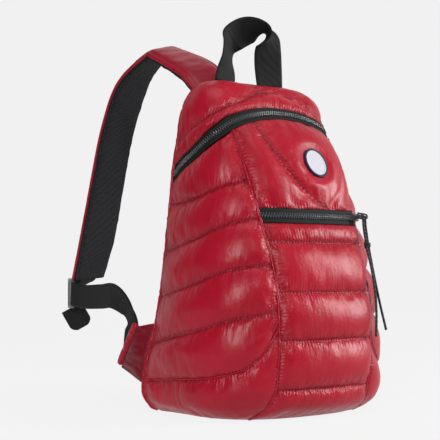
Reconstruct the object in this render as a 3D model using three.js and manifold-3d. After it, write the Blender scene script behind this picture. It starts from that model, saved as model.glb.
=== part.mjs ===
// Quilted puffer backpack: an egg-shaped bag of padded panels with an arched main zip, a front
// pocket zip, a webbing carry handle and two padded shoulder straps with ladder-lock adjusters.
// Millimetres, +Z up, front towards -Y. The origin is the middle of the flat base.
import * as THREE from 'three';
import { mergeVertices } from 'three/addons/utils/BufferGeometryUtils.js';
import Module from 'manifold-3d';

const wasm = await Module();
wasm.setup();

// Bag body
const BODY_HEIGHT = 351;
const BODY_WIDTH = 236;
const BODY_DEPTH = 165;
const ROUNDNESS = 2.6;        // power of the rounded plan outline
const BELLY = 0.42;           // widest place of the plan, share of the depth from the back

// Padded walls
const WALL = 5;               // nominal wall, from the nominal outline to the inside
const SEAM_SINK = 2;          // a seam lies this much below the nominal outline
const QUILT_LOFT = 4;         // a full channel stands this much above it
const FULL_CHANNEL = 40;      // height of a channel that puffs up fully
const SEAM_GAP = 0.25;        // each panel stops this far from a shared seam
const SEAT_GAP = 0.3;         // clearance between pieces that touch
const BACK_LOFT = 4;          // crown of the back panel
const CORNER_TURN = 12;       // keeps the inside of a side wall from folding at the back edge

// Zips
const ZIP_WIDTH = 15;
const ZIP_TAPE = 1.2;
const ZIP_CHAIN_WIDTH = 6;
const ZIP_CHAIN_RISE = 1.8;
const ZIP_SINK = 2;           // outer face of the tape below the nominal outline
const POCKET_ZIP_HEIGHT = 203;
const SLIDER_LENGTH = 10;
const SLIDER_WIDTH = 8;
const SLIDER_PLATE = 2;
const BRIDGE_RISE = 5.2;
const BRIDGE_BAR = 1.6;
const BRIDGE_WIDTH = 2.4;
const PULL_LENGTH = 12;
const PULL_WIDTH = 6.8;
const PULL_PLATE = 1.8;
const PULL_RIM = 1.4;
const PULL_SAG = 28;          // degrees that the pull hangs below the surface's normal
const CORD_WIDTH = 2.7;
const KNOT_LENGTH = 9;
const KNOT_WIDTH = 7;
const TOP_SLIDER_AT = 0.9;    // places of the sliders round the body
const POCKET_SLIDER_AT = 0.37;

// Webbing, straps and buckles
const HANDLE_WIDTH = 32;
const HANDLE_WEB = 2;
const HANDLE_SPAN = 62;       // between the middles of its two ends
const HANDLE_RISE = 72;
const STRAP_WIDTH = 52;
const STRAP_PAD = 6.5;        // quilted outer pad
const STRAP_MESH = 2;         // mesh lining below it
const STRAP_REACH = 220;      // how far the strap stands out behind its seam
const WEB_WIDTH = 28;
const WEB = 1.8;
const BUCKLE_WIDTH = 35;
const BUCKLE_LENGTH = 28;
const BUCKLE_PLATE = 4;
const BUCKLE_BAR = 4.5;
const BUCKLE_BOW = 3;         // the frame bows this much over its length
// Clearances along the adjuster: web from the webbing's end to the buckle, bar from the buckle to
// the tab, and tab from there to the strap.
const CLEAR = {
  left: { web: 1.6, bar: 2.0, tab: 0.6 },
  right: { web: 0.8, bar: 0.8, tab: 1.6 },
};
// The left buckle turns from the webbing's way towards this one, by the share.
const LEFT_BUCKLE = { towards: [0.643, 0.766, 0], share: 0.65 };
const TAB_LEAD = 14;          // the tab leaves the strap and the buckle straight over these
const TAB_BEND = 12;
const TAIL_LENGTH = 28;
const TAIL_ROUND = 0.3;       // share of the tail over which its tip rounds off
const WING_REACH = 38;
const WING_LOW = 30;          // heights of its seam on the body
const WING_TOP = 92;
const WING_CLOTH = 3;
const HEM_WIDTH = 9;
const HEM_THICK = 6;

// Badge
const BADGE_WIDTH = 30;
const BADGE_HEIGHT = 34;
const BADGE_PLATE = 1.6;
const BADGE_AT = { s: 0.092, high: 0.735 };

const HALF = BODY_WIDTH / 2;
const FRONT_SEAM = 0.4;       // place round the body: 0 front middle, 0.4 front seam, 1 back edge

// Plan sections from the base to the ridge. height is a share of BODY_HEIGHT, side, rear_edge
// and strip (half widths at the belly, the back edge and the front strip) of HALF, front and
// rear of BODY_DEPTH.
const SECTIONS = [
  { height: 0.000, side: 0.780, rear_edge: 0.814, front: -0.352, rear: 0.412, strip: 0.600 },
  { height: 0.020, side: 0.890, rear_edge: 0.915, front: -0.442, rear: 0.448, strip: 0.575 },
  { height: 0.071, side: 0.966, rear_edge: 0.974, front: -0.515, rear: 0.467, strip: 0.530 },
  { height: 0.171, side: 1.000, rear_edge: 0.932, front: -0.552, rear: 0.448, strip: 0.528 },
  { height: 0.299, side: 0.983, rear_edge: 0.856, front: -0.552, rear: 0.418, strip: 0.521 },
  { height: 0.427, side: 0.932, rear_edge: 0.814, front: -0.509, rear: 0.400, strip: 0.525 },
  { height: 0.570, side: 0.850, rear_edge: 0.780, front: -0.424, rear: 0.382, strip: 0.556 },
  { height: 0.712, side: 0.788, rear_edge: 0.746, front: -0.315, rear: 0.370, strip: 0.576 },
  { height: 0.812, side: 0.737, rear_edge: 0.712, front: -0.206, rear: 0.352, strip: 0.572 },
  { height: 0.889, side: 0.695, rear_edge: 0.678, front: -0.097, rear: 0.345, strip: 0.545 },
  { height: 0.946, side: 0.640, rear_edge: 0.627, front: 0.012, rear: 0.321, strip: 0.475 },
  { height: 0.983, side: 0.562, rear_edge: 0.534, front: 0.115, rear: 0.303, strip: 0.375 },
  { height: 1.000, side: 0.424, rear_edge: 0.398, front: 0.206, rear: 0.273, strip: 0.270 },
];

// Seams that run round the body: heights as shares of BODY_HEIGHT at equal steps. The stitches of
// the lower front are shares of POCKET_ZIP_HEIGHT.
const TOP_ZIP = [0.895, 0.893, 0.886, 0.874, 0.855, 0.831, 0.808, 0.785, 0.761, 0.739, 0.706];
const CAP_STITCH = [0.972, 0.963, 0.946, 0.926, 0.906, 0.886, 0.870, 0.856, 0.841, 0.820, 0.790];
const FRONT_STITCHES = [0.149, 0.389, 0.622, 0.868];
// The side tables start at the front seam.
const SIDE_STITCHES = [
  [0.308, 0.293, 0.275, 0.252, 0.234, 0.217, 0.202],
  [0.436, 0.430, 0.415, 0.390, 0.369, 0.353, 0.338],
  [0.570, 0.558, 0.541, 0.519, 0.501, 0.486, 0.479],
  [0.679, 0.667, 0.652, 0.636, 0.626, 0.620, 0.619],
];
const SIDE_HEM = [0.262, 0.196, 0.154, 0.138, 0.127, 0.120, 0.115, 0.111, 0.108, 0.104, 0.101,
  0.097, 0.094];
// Diagonal stitch of the upper front, from the pocket zip to the main zip: x as a share of HALF.
const DIAGONAL = [0.200, 0.060, -0.060, -0.150, -0.225, -0.285, -0.325, -0.345, -0.357];

// Carry handle from its left end to its right end. x is a share of HANDLE_SPAN from the middle,
// rise of HANDLE_RISE, turn the way its width points (0 is +X, 90 is -Y), droop its dip.
const HANDLE = [
  { x: -0.50, rise: 0.00, turn: 0, droop: 0 },
  { x: -0.47, rise: 0.18, turn: 45, droop: 5 },
  { x: -0.42, rise: 0.40, turn: 92, droop: 18 },
  { x: -0.32, rise: 0.66, turn: 92, droop: 32 },
  { x: -0.10, rise: 0.90, turn: 84, droop: 36 },
  { x: 0.20, rise: 1.00, turn: 74, droop: 30 },
  { x: 0.44, rise: 0.88, turn: 60, droop: 22 },
  { x: 0.57, rise: 0.62, turn: 46, droop: 14 },
  { x: 0.58, rise: 0.32, turn: 25, droop: 6 },
  { x: 0.50, rise: 0.00, turn: 0, droop: 0 },
];

// Shoulder straps from the top seam down. out is a share of HALF, back of STRAP_REACH, high of
// BODY_HEIGHT, turn and tilt the way the width points, in degrees.
const LEFT_STRAP = [
  { out: 0.345, back: -0.022, high: 0.968, turn: 2, tilt: 13 },
  { out: 0.372, back: 0.118, high: 1.048, turn: 12, tilt: 22 },
  { out: 0.407, back: 0.323, high: 1.111, turn: 21, tilt: 18 },
  { out: 0.424, back: 0.418, high: 1.122, turn: 23, tilt: 14 },
  { out: 0.449, back: 0.582, high: 1.071, turn: 17, tilt: 9 },
  { out: 0.466, back: 0.677, high: 1.003, turn: 11, tilt: 8 },
  { out: 0.492, back: 0.764, high: 0.882, turn: 10, tilt: 12 },
  { out: 0.504, back: 0.827, high: 0.758, turn: 10, tilt: 12 },
  { out: 0.521, back: 0.884, high: 0.621, turn: 9, tilt: 10 },
  { out: 0.542, back: 0.927, high: 0.513, turn: 9, tilt: 8 },
  { out: 0.559, back: 0.998, high: 0.393, turn: 13, tilt: 12 },
];
const RIGHT_STRAP = [
  { out: 0.345, back: -0.022, high: 0.968, turn: 0, tilt: 4 },
  { out: 0.365, back: 0.136, high: 0.977, turn: 4, tilt: 6 },
  { out: 0.390, back: 0.295, high: 0.949, turn: 8, tilt: 6 },
  { out: 0.420, back: 0.445, high: 0.892, turn: 10, tilt: 6 },
  { out: 0.450, back: 0.582, high: 0.806, turn: 10, tilt: 6 },
  { out: 0.480, back: 0.682, high: 0.698, turn: 10, tilt: 5 },
  { out: 0.510, back: 0.736, high: 0.578, turn: 10, tilt: 4 },
  { out: 0.540, back: 0.741, high: 0.456, turn: 9, tilt: 3 },
  { out: 0.570, back: 0.705, high: 0.342, turn: 8, tilt: 2 },
  { out: 0.600, back: 0.623, high: 0.242, turn: 8, tilt: 0 },
];

// Adjuster webbing from the wing to the buckle. out is a share of HALF, back of STRAP_REACH and
// high of BODY_HEIGHT; wx, wy and wz are the way its width points.
const LEFT_WEB = [
  { out: 0.907, back: 0.275, high: 0.178, wx: 0.00, wy: 1.00, wz: -0.10 },
  { out: 0.895, back: 0.273, high: 0.243, wx: 0.03, wy: 0.95, wz: -0.30 },
  { out: 0.880, back: 0.300, high: 0.282, wx: 0.28, wy: 0.80, wz: -0.50 },
  { out: 0.898, back: 0.350, high: 0.318, wx: 0.18, wy: 0.66, wz: -0.70 },
  { out: 0.881, back: 0.470, high: 0.340, wx: 0.00, wy: 0.15, wz: -1.00 },
  { out: 0.839, back: 0.610, high: 0.336, wx: 0.00, wy: 0.00, wz: -1.00 },
  { out: 0.785, back: 0.830, high: 0.332, wx: 0.00, wy: 0.00, wz: -1.00 },
  { out: 0.770, back: 0.985, high: 0.340, wx: 0.00, wy: 0.00, wz: -1.00 },
];
const RIGHT_WEB = [
  { out: 0.902, back: 0.285, high: 0.170, wx: 0.00, wy: 1.00, wz: -0.10 },
  { out: 0.870, back: 0.345, high: 0.130, wx: 0.35, wy: 0.90, wz: 0.20 },
  { out: 0.830, back: 0.405, high: 0.092, wx: 0.70, wy: 0.60, wz: 0.25 },
  { out: 0.745, back: 0.455, high: 0.088, wx: 0.95, wy: 0.25, wz: 0.10 },
];

// Free end of the webbing at each buckle, in the buckle's own frame: x, y and z are shares of
// BUCKLE_LENGTH, BUCKLE_WIDTH and BUCKLE_PLATE, way and wide are directions.
const TAILS = {
  left: { x: 0.216, y: 0.5035, z: -0.402, way: [-0.141, 0.866, -0.479], wide: [-0.178, -0.497, -0.849] },
  right: { x: -0.0905, y: -0.1233, z: -1.552, way: [0.847, 0.381, -0.279], wide: [0.465, -0.841, 0.28] },
};

// Ends of the wing's hem. out is a share of HALF, reach of WING_REACH behind the body and high
// of BODY_HEIGHT.
const WING_HEM = {
  top: { out: 0.935, reach: 0.24, high: 0.252 },
  low: { out: 0.950, reach: 1.04, high: 0.122 },
};

// Pull cord: two strands from the pull of the pocket zip through the knot to their tips.
const LONG_STRAND = [
  [67.98, -69.6, 200.6], [67.4, -70.7, 194], [66.0, -73.4, 187], [64.2, -76.8, 178.6],
];
const SHORT_STRAND = [
  [62.75, -71.9, 200.85], [62.3, -72.9, 194], [61.6, -74.8, 187], [61.0, -77.2, 178.6],
];
const LONG_TAIL = [
  [64.2, -79.0, 169.0], [65.4, -80.1, 160], [67.0, -81.6, 148], [69.4, -83.0, 134],
  [72.2, -84.2, 120], [75.2, -85.2, 107], [78.0, -86.0, 96], [80.6, -86.6, 86],
];
const SHORT_TAIL = [
  [61.0, -79.4, 169.0], [61.2, -82.2, 160], [61.6, -85.4, 148], [62.0, -88.0, 134],
  [62.2, -90.0, 120], [61.8, -91.4, 107], [61.0, -92.2, 95], [60.0, -92.6, 80],
];

const RED = [0xb0122b, 0.32, 0];
const DARK_RED = [0x8b0020, 0.38, 0];
const BLACK = [0x1b1c1e, 0.75, 0];
const MESH_BLACK = [0x141416, 0.9, 0];
const TAPE_BLACK = [0x17201e, 0.65, 0];
const PLASTIC = [0x2c2e30, 0.4, 0];
const BADGE_WHITE = [0xe9e8ee, 0.55, 0];

const bag = new THREE.Group();

const lerp = (a, b, t) => a + (b - a) * t;
const clamp = (x, lo, hi) => Math.min(hi, Math.max(lo, x));
const smooth = (a, b, x) => THREE.MathUtils.smoothstep(x, a, b);
const vec = (x, y, z) => new THREE.Vector3(x, y, z);
const steps = (count) => Array.from({ length: count + 1 }, (_, i) => i / count);

// Smooth value between the entries of a list; t runs from 0 to 1.
function along(list, t) {
  const last = list.length - 1;
  const at = clamp(t, 0, 1) * last;
  const i = Math.min(last - 1, Math.floor(at));
  const f = at - i;
  const p1 = list[i];
  const p2 = list[i + 1];
  const p0 = i > 0 ? list[i - 1] : 2 * p1 - p2;
  const p3 = i < last - 1 ? list[i + 2] : 2 * p2 - p1;
  return 0.5 * (2 * p1 + (p2 - p0) * f + (2 * p0 - 5 * p1 + 4 * p2 - p3) * f * f
    + (3 * p1 - p0 - 3 * p2 + p3) * f * f * f);
}

function column(table, name) {
  return table.map((row) => row[name]);
}

const PLAN = Object.fromEntries(Object.keys(SECTIONS[0]).map((name) => [name, column(SECTIONS, name)]));

// Section of the nominal outline at v, from 0 at the base to 1 at the ridge, in millimetres.
function section(v) {
  return {
    z: along(PLAN.height, v) * BODY_HEIGHT,
    side: along(PLAN.side, v) * HALF,
    rearEdge: along(PLAN.rear_edge, v) * HALF,
    strip: along(PLAN.strip, v) * HALF,
    front: along(PLAN.front, v) * BODY_DEPTH,
    rear: along(PLAN.rear, v) * BODY_DEPTH,
  };
}

// The v whose section lies at height z.
function levelOf(z) {
  let low = 0;
  let high = 1;
  for (let i = 0; i < 40; i += 1) {
    const middle = (low + high) / 2;
    if (along(PLAN.height, middle) * BODY_HEIGHT < z) low = middle;
    else high = middle;
  }
  return (low + high) / 2;
}

// Point of the nominal outline at s round the body (-1 left back edge, 1 right back edge).
function outlinePoint(s, v) {
  const row = section(v);
  const belly = row.rear - BELLY * (row.rear - row.front);
  const arcY = (x) => {
    const left = 1 - Math.min(1, (x / row.side) ** ROUNDNESS);
    return belly + (row.front - belly) * left ** (1 / ROUNDNESS);
  };
  const q = Math.abs(s);
  const way = Math.sign(s) || 1;
  if (q <= FRONT_SEAM) {
    const x = (q / FRONT_SEAM) * row.strip;
    return vec(way * x, arcY(x), row.z);
  }
  const start = Math.asin(Math.min(0.999, (row.strip / row.side) ** (ROUNDNESS / 2)));
  const turns = steps(36).map((t) => lerp(start, Math.PI / 2, t));
  const line = turns.map((a) => [
    row.side * Math.sin(a) ** (2 / ROUNDNESS),
    belly + (row.front - belly) * Math.max(0, Math.cos(a)) ** (2 / ROUNDNESS),
  ]);
  for (const t of steps(10).slice(1)) {
    line.push([lerp(row.side, row.rearEdge, t * t), lerp(belly, row.rear, t)]);
  }
  const runs = [0];
  for (let i = 1; i < line.length; i += 1) {
    runs.push(runs[i - 1] + Math.hypot(line[i][0] - line[i - 1][0], line[i][1] - line[i - 1][1]));
  }
  const goal = ((q - FRONT_SEAM) / (1 - FRONT_SEAM)) * runs[runs.length - 1];
  let k = 1;
  while (k < line.length - 1 && runs[k] < goal) k += 1;
  const f = (goal - runs[k - 1]) / (runs[k] - runs[k - 1]);
  return vec(way * lerp(line[k - 1][0], line[k][0], f), lerp(line[k - 1][1], line[k][1], f), row.z);
}

// Position, outward normal and the way inwards through the wall at (s, v).
function frameAt(s, v) {
  const e = 0.004;
  const point = outlinePoint(s, v);
  const ds = outlinePoint(Math.min(1, s + e), v).sub(outlinePoint(Math.max(-1, s - e), v));
  const dv = outlinePoint(s, Math.min(1, v + e)).sub(outlinePoint(s, Math.max(0, v - e)));
  const normal = ds.clone().cross(dv).normalize();
  const level = vec(normal.x, normal.y, 0).normalize();
  const corner = smooth(0.9, 1, Math.abs(s));
  const flatX = lerp(-level.x, -(Math.sign(s) || 1), corner);
  const flatY = lerp(-level.y, -1, corner);
  const foot = 1 - smooth(0, 0.04 * BODY_HEIGHT, point.z);
  const crest = smooth(0.965 * BODY_HEIGHT, BODY_HEIGHT, point.z);
  const plain = vec(lerp(-normal.x, flatX, corner), lerp(-normal.y, flatY, corner), -normal.z * (1 - corner));
  const inward = vec(
    lerp(plain.x, flatX, foot + crest),
    lerp(plain.y, flatY, foot + crest),
    lerp(plain.z, foot - crest, foot + crest),
  );
  return { point, normal, inward, ds: ds.normalize(), dv: dv.normalize() };
}

// Point at a lift above the nominal outline; a negative lift goes into the wall.
function place(s, v, lift) {
  const f = frameAt(s, v);
  if (lift >= 0) return f.point.addScaledVector(f.normal, lift);
  const deep = f.point.addScaledVector(f.inward, -lift);
  deep.y = Math.min(deep.y, section(v).rear + lift - CORNER_TURN * (1 - Math.abs(s)));
  return deep;
}

const zipHeight = (s) => along(TOP_ZIP, Math.abs(s)) * BODY_HEIGHT;
const capStitch = (s) => along(CAP_STITCH, Math.abs(s)) * BODY_HEIGHT;
const sideShare = (s) => (Math.abs(s) - FRONT_SEAM) / (1 - FRONT_SEAM);
const sideHem = (s) => along(SIDE_HEM, sideShare(s)) * BODY_HEIGHT;
const sideStitch = (k) => (s) => along(SIDE_STITCHES[k], sideShare(s)) * BODY_HEIGHT;

// Height at a distance along the surface above the seam height(s), square to the seam.
function beside(height, s, distance) {
  const e = 0.01;
  const z = height(s);
  const at = (t) => outlinePoint(t, levelOf(height(t)));
  const a = at(clamp(s - e, -1, 1));
  const b = at(clamp(s + e, -1, 1));
  const slope = (b.z - a.z) / Math.max(0.5, Math.hypot(b.x - a.x, b.y - a.y));
  const up = outlinePoint(s, levelOf(z + 4)).distanceTo(outlinePoint(s, levelOf(z - 4))) / 8;
  return z + (distance * Math.sqrt(1 + slope * slope)) / up;
}

// Closed solid from a list of corners and a list of triangles.
function solidOf(corners, triangles) {
  const flat = [];
  for (const [a, b, c] of triangles) flat.push(...corners[a], ...corners[b], ...corners[c]);
  const raw = new THREE.BufferGeometry();
  raw.setAttribute('position', new THREE.Float32BufferAttribute(flat, 3));
  return tidy(raw);
}

// The same geometry with shared corners merged, collapsed faces dropped and faces pointing out.
function tidy(geometry) {
  const bare = new THREE.BufferGeometry();
  bare.setAttribute('position', geometry.getAttribute('position').clone());
  if (geometry.index) bare.setIndex(geometry.index.clone());
  const merged = mergeVertices(bare, 1e-3);
  const index = [];
  const from = merged.index.array;
  for (let i = 0; i < from.length; i += 3) {
    const [a, b, c] = [from[i], from[i + 1], from[i + 2]];
    if (a !== b && b !== c && a !== c) index.push(a, b, c);
  }
  merged.setIndex(index);
  if (volumeOf(merged) < 0) {
    for (let i = 0; i < index.length; i += 3) [index[i + 1], index[i + 2]] = [index[i + 2], index[i + 1]];
    merged.setIndex(index);
  }
  return merged;
}

function volumeOf(geometry) {
  const p = geometry.getAttribute('position');
  const index = geometry.index.array;
  const [a, b, c] = [vec(), vec(), vec()];
  let sum = 0;
  for (let i = 0; i < index.length; i += 3) {
    a.fromBufferAttribute(p, index[i]);
    b.fromBufferAttribute(p, index[i + 1]);
    c.fromBufferAttribute(p, index[i + 2]);
    sum += a.dot(b.cross(c)) / 6;
  }
  return sum;
}

function toManifold(geometry) {
  const merged = tidy(geometry);
  return new wasm.Manifold(new wasm.Mesh({
    numProp: 3,
    vertProperties: new Float32Array(merged.getAttribute('position').array),
    triVerts: new Uint32Array(merged.index.array),
  }));
}

function fromManifold(solid) {
  const mesh = solid.getMesh();
  const geometry = new THREE.BufferGeometry();
  geometry.setAttribute('position', new THREE.BufferAttribute(new Float32Array(mesh.vertProperties), 3));
  geometry.setIndex([...mesh.triVerts]);
  return geometry;
}

// What is left of a geometry outside the tools.
function outside(geometry, tools) {
  return tools.reduce((rest, tool) => rest.subtract(toManifold(tool)), toManifold(geometry));
}

const cut = (geometry, ...tools) => fromManifold(outside(geometry, tools));
const join = (first, second) => fromManifold(toManifold(first).add(toManifold(second)));

// The largest piece of what is left of a geometry outside the tools.
function trim(geometry, ...tools) {
  const pieces = outside(geometry, tools).decompose().sort((a, b) => b.volume() - a.volume());
  return fromManifold(pieces[0]);
}

function add(name, geometry, [color, roughness, metalness]) {
  const mesh = new THREE.Mesh(geometry, new THREE.MeshStandardMaterial({ color, roughness, metalness }));
  mesh.name = name;
  bag.add(mesh);
}

// Closed solid between two grids of points with the same rows and columns.
function slab(outer, inner) {
  const rows = outer.length;
  const cols = outer[0].length;
  const corners = [...outer.flat(), ...inner.flat()].map((p) => [p.x, p.y, p.z]);
  const far = rows * cols;
  const id = (i, j) => i * cols + j;
  const faces = [];
  const quad = (a, b, c, d) => faces.push([a, b, c], [a, c, d]);
  for (let i = 0; i + 1 < rows; i += 1) {
    for (let j = 0; j + 1 < cols; j += 1) {
      quad(id(i, j), id(i, j + 1), id(i + 1, j + 1), id(i + 1, j));
      quad(far + id(i, j), far + id(i + 1, j), far + id(i + 1, j + 1), far + id(i, j + 1));
    }
  }
  for (let j = 0; j + 1 < cols; j += 1) {
    quad(id(0, j), far + id(0, j), far + id(0, j + 1), id(0, j + 1));
    quad(id(rows - 1, j), id(rows - 1, j + 1), far + id(rows - 1, j + 1), far + id(rows - 1, j));
  }
  for (let i = 0; i + 1 < rows; i += 1) {
    quad(id(i, 0), id(i + 1, 0), far + id(i + 1, 0), far + id(i, 0));
    quad(id(i, cols - 1), far + id(i, cols - 1), far + id(i + 1, cols - 1), id(i + 1, cols - 1));
  }
  return solidOf(corners, faces);
}

// Heights of a panel's rows at s: divisions holds, for each channel between two seams, how far
// across the channel its rows lie.
function channelRows(seams, divisions, s) {
  const rows = [];
  divisions.forEach((shares, k) => {
    const low = seams[k](s);
    const high = seams[k + 1](s);
    for (const t of k === 0 ? shares : shares.slice(1)) {
      rows.push({ z: lerp(low, high, t), t, tall: high - low });
    }
  });
  return rows;
}

// Shares that crowd towards the low end or the high end of a channel.
const crowdLow = (count, power) => steps(count).map((t) => t ** power);
const crowdHigh = (count, power) => steps(count).map((t) => 1 - (1 - t) ** power);

// How much a quilted channel stands up at t across it, shrinking towards the panel's side edges.
function puff({ t, tall }, edge) {
  const full = Math.min(1, tall / FULL_CHANNEL) ** 0.7;
  const bow = Math.sin(Math.PI * t) ** 0.75 * Math.sqrt(Math.max(0, edge));
  return lerp(-SEAM_SINK, QUILT_LOFT * full, bow);
}

// Share of the full loft at s between two side seams.
function sideEase(s, from, to, soft = 0.1) {
  const a = clamp((s - from) / soft, 0, 1);
  const b = clamp((to - s) / soft, 0, 1);
  return Math.sin(a * Math.PI / 2) * Math.sin(b * Math.PI / 2);
}

// Lift of the outer face fades to zero at the base, the ridge and the back edges, where panels
// meet on a mitre.
function rimFade(s, v) {
  const back = 1 - smooth(0.94, 1, Math.abs(s));
  return back * smooth(0, 0.05, v) * (1 - smooth(0.93, 1, v));
}

// A quilted panel. columns lists the s of each column for a row share r from 0 to 1.
function panel(seams, divisions, columns, edges) {
  const outer = [];
  const inner = [];
  const total = channelRows(seams, divisions, edges.from).length;
  for (let i = 0; i < total; i += 1) {
    const r = i / (total - 1);
    const outerRow = [];
    const innerRow = [];
    for (const s of columns(r)) {
      const row = channelRows(seams, divisions, s)[i];
      const v = levelOf(row.z);
      const lift = puff(row, edges.ease(s, r)) * rimFade(s, v);
      outerRow.push(place(s, v, lift));
      innerRow.push(place(s, v, -WALL));
    }
    outer.push(outerRow);
    inner.push(innerRow);
  }
  return { outer, inner };
}

// s offset that leaves the seam gap beside a front seam and beside a back edge.
const FRONT_GAP = (SEAM_GAP / HALF) * 1.25;
const BACK_GAP = (SEAM_GAP / HALF) * 0.9;
const FLOOR = () => 0;
const below = (seam) => (s) => seam(s) - SEAM_GAP;
const above = (seam) => (s) => seam(s) + SEAM_GAP;
const zipEdge = (height, way) => (s) => beside(height, s, way * (ZIP_WIDTH / 2 + 2 * SEAT_GAP));
const pocketZip = () => POCKET_ZIP_HEIGHT;

function frontColumns(count) {
  const edge = FRONT_SEAM - FRONT_GAP;
  return () => steps(count).map((t) => lerp(-edge, edge, t));
}

// s of the diagonal stitch at a row share r of the upper front.
function diagonal(r) {
  const z = lerp(POCKET_ZIP_HEIGHT, zipHeight(0.2), r);
  return (along(DIAGONAL, r) * HALF * FRONT_SEAM) / section(levelOf(z)).strip;
}

// Columns of the upper front: the diagonal stitch is one of them.
function upperColumns(r) {
  const edge = FRONT_SEAM - FRONT_GAP;
  const middle = diagonal(r);
  const left = steps(5).map((t) => lerp(-edge, middle, t));
  const right = steps(5).map((t) => lerp(middle, edge, t));
  return [...left, ...right.slice(1)];
}

// Stations round the body from back edge to back edge, shared by all that meets there.
const around = (front) => [...sideColumns(-1, 10)(), ...front, ...sideColumns(1, 10)()];

function buildFrontPanels() {
  const ease = (s) => sideEase(s, -FRONT_SEAM, FRONT_SEAM);
  const stitches = FRONT_STITCHES.map((share) => () => share * POCKET_ZIP_HEIGHT);
  const lowerSeams = [FLOOR, ...stitches, zipEdge(pocketZip, -1)];
  const divisions = [crowdLow(6, 1.4), steps(4), steps(4), steps(4), steps(2)];
  const lower = panel(lowerSeams, divisions, frontColumns(10), { from: 0, ease });
  add('front_lower_panel', slab(lower.outer, lower.inner), RED);

  const split = (s, r) => {
    const middle = diagonal(r);
    return s < middle ? sideEase(s, -FRONT_SEAM, middle, 0.12) : sideEase(s, middle, FRONT_SEAM, 0.12);
  };
  const upperSeams = [zipEdge(pocketZip, 1), zipEdge(zipHeight, -1)];
  const upper = panel(upperSeams, [steps(10)], upperColumns, { from: 0, ease: split });
  const badge = buildBadge();
  add('front_upper_panel', cut(slab(upper.outer, upper.inner), badge.pocket), RED);
  add('badge', badge.plate, BADGE_WHITE);
}

// Matrix that stands a local frame (x round the body, y up, z out) on the surface.
function surfaceFrame(s, z, lift) {
  const f = frameAt(s, levelOf(z));
  const x = f.ds.clone().addScaledVector(f.normal, -f.ds.dot(f.normal)).normalize();
  const y = f.normal.clone().cross(x);
  const matrix = new THREE.Matrix4().makeBasis(x, y, f.normal);
  return matrix.setPosition(f.point.addScaledVector(f.normal, lift));
}

// Oval badge, and the pocket that clears it in the panel below.
function buildBadge() {
  const oval = (grow) => {
    const shape = new THREE.Shape();
    shape.absellipse(0, 0, BADGE_WIDTH / 2 + grow, BADGE_HEIGHT / 2 + grow, 0, 2 * Math.PI);
    return shape;
  };
  const settings = { depth: BADGE_PLATE, bevelEnabled: false, curveSegments: 14 };
  const onPanel = surfaceFrame(BADGE_AT.s, BADGE_AT.high * BODY_HEIGHT, 0.55 * QUILT_LOFT);
  const plate = new THREE.ExtrudeGeometry(oval(0), settings).applyMatrix4(onPanel);
  const room = { ...settings, depth: BADGE_PLATE + 2 * QUILT_LOFT };
  const pocket = new THREE.ExtrudeGeometry(oval(SEAT_GAP), room).translate(0, 0, -SEAT_GAP);
  return { plate: tidy(plate), pocket: pocket.applyMatrix4(onPanel) };
}

// Seams and row divisions of the side walls and the cap, shared with the back panel's edge.
const SIDE_FOOT = { seams: [FLOOR, below(sideHem)], divisions: [crowdLow(8, 1.4)] };
const SIDE = {
  seams: [above(sideHem), ...SIDE_STITCHES.map((_, k) => sideStitch(k)), zipEdge(zipHeight, -1)],
  divisions: Array(SIDE_STITCHES.length + 1).fill(steps(4)),
};
const CAP = {
  seams: [zipEdge(zipHeight, 1), capStitch, () => BODY_HEIGHT],
  divisions: [steps(2), crowdHigh(5, 1.6)],
};

// The side columns crowd towards the front seam, where the hem curve turns up.
function sideColumns(way, count) {
  const first = FRONT_SEAM + FRONT_GAP;
  const last = 1 - BACK_GAP;
  const list = steps(count).map((t) => way * lerp(first, last, t ** 1.35));
  return () => (way < 0 ? [...list].reverse() : list);
}

function buildSidePanels() {
  for (const [side, way] of [['left', -1], ['right', 1]]) {
    const ease = (s) => sideEase(Math.abs(s), FRONT_SEAM, 1, 0.12);
    const columns = sideColumns(way, 10);
    const main = panel(SIDE.seams, SIDE.divisions, columns, { from: way, ease });
    add(`side_panel_${side}`, slab(main.outer, main.inner), RED);
    const foot = panel(SIDE_FOOT.seams, SIDE_FOOT.divisions, columns, { from: way, ease });
    add(`lower_side_panel_${side}`, slab(foot.outer, foot.inner), RED);
  }
}

// Point of the roof between the ridge section and the line where the back panel starts.
function roofPoint(s, share, depth) {
  const start = place(s, 1, -depth);
  const row = section(1);
  const end = vec(s * (row.rearEdge - depth), row.rear - depth, row.z - depth);
  return start.lerp(end, share);
}

function buildTopPanel() {
  const columns = () => around(upperColumns(1));
  const ease = () => 1;
  const cap = panel(CAP.seams, CAP.divisions, columns, { from: 0, ease });
  const ridge = section(1);
  const lastShare = 1 - SEAM_GAP / (ridge.rear - ridge.front);
  for (const share of [lastShare / 2, lastShare]) {
    cap.outer.push(columns().map((s) => roofPoint(s, share, 0)));
    cap.inner.push(columns().map((s) => roofPoint(s, share, WALL)));
  }
  add('top_panel', slab(cap.outer, cap.inner), RED);
  return cap;
}

// Heights of the back panel's rows, taken from the walls that meet it at the back edge.
function backRows() {
  const rowsOf = ({ seams, divisions }) => channelRows(seams, divisions, 1).map((row) => row.z);
  const sides = rowsOf(SIDE).filter((_, i) => i % 2 === 0).slice(1);
  return [...rowsOf(SIDE_FOOT), ...sides, ...rowsOf(CAP)];
}

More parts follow.
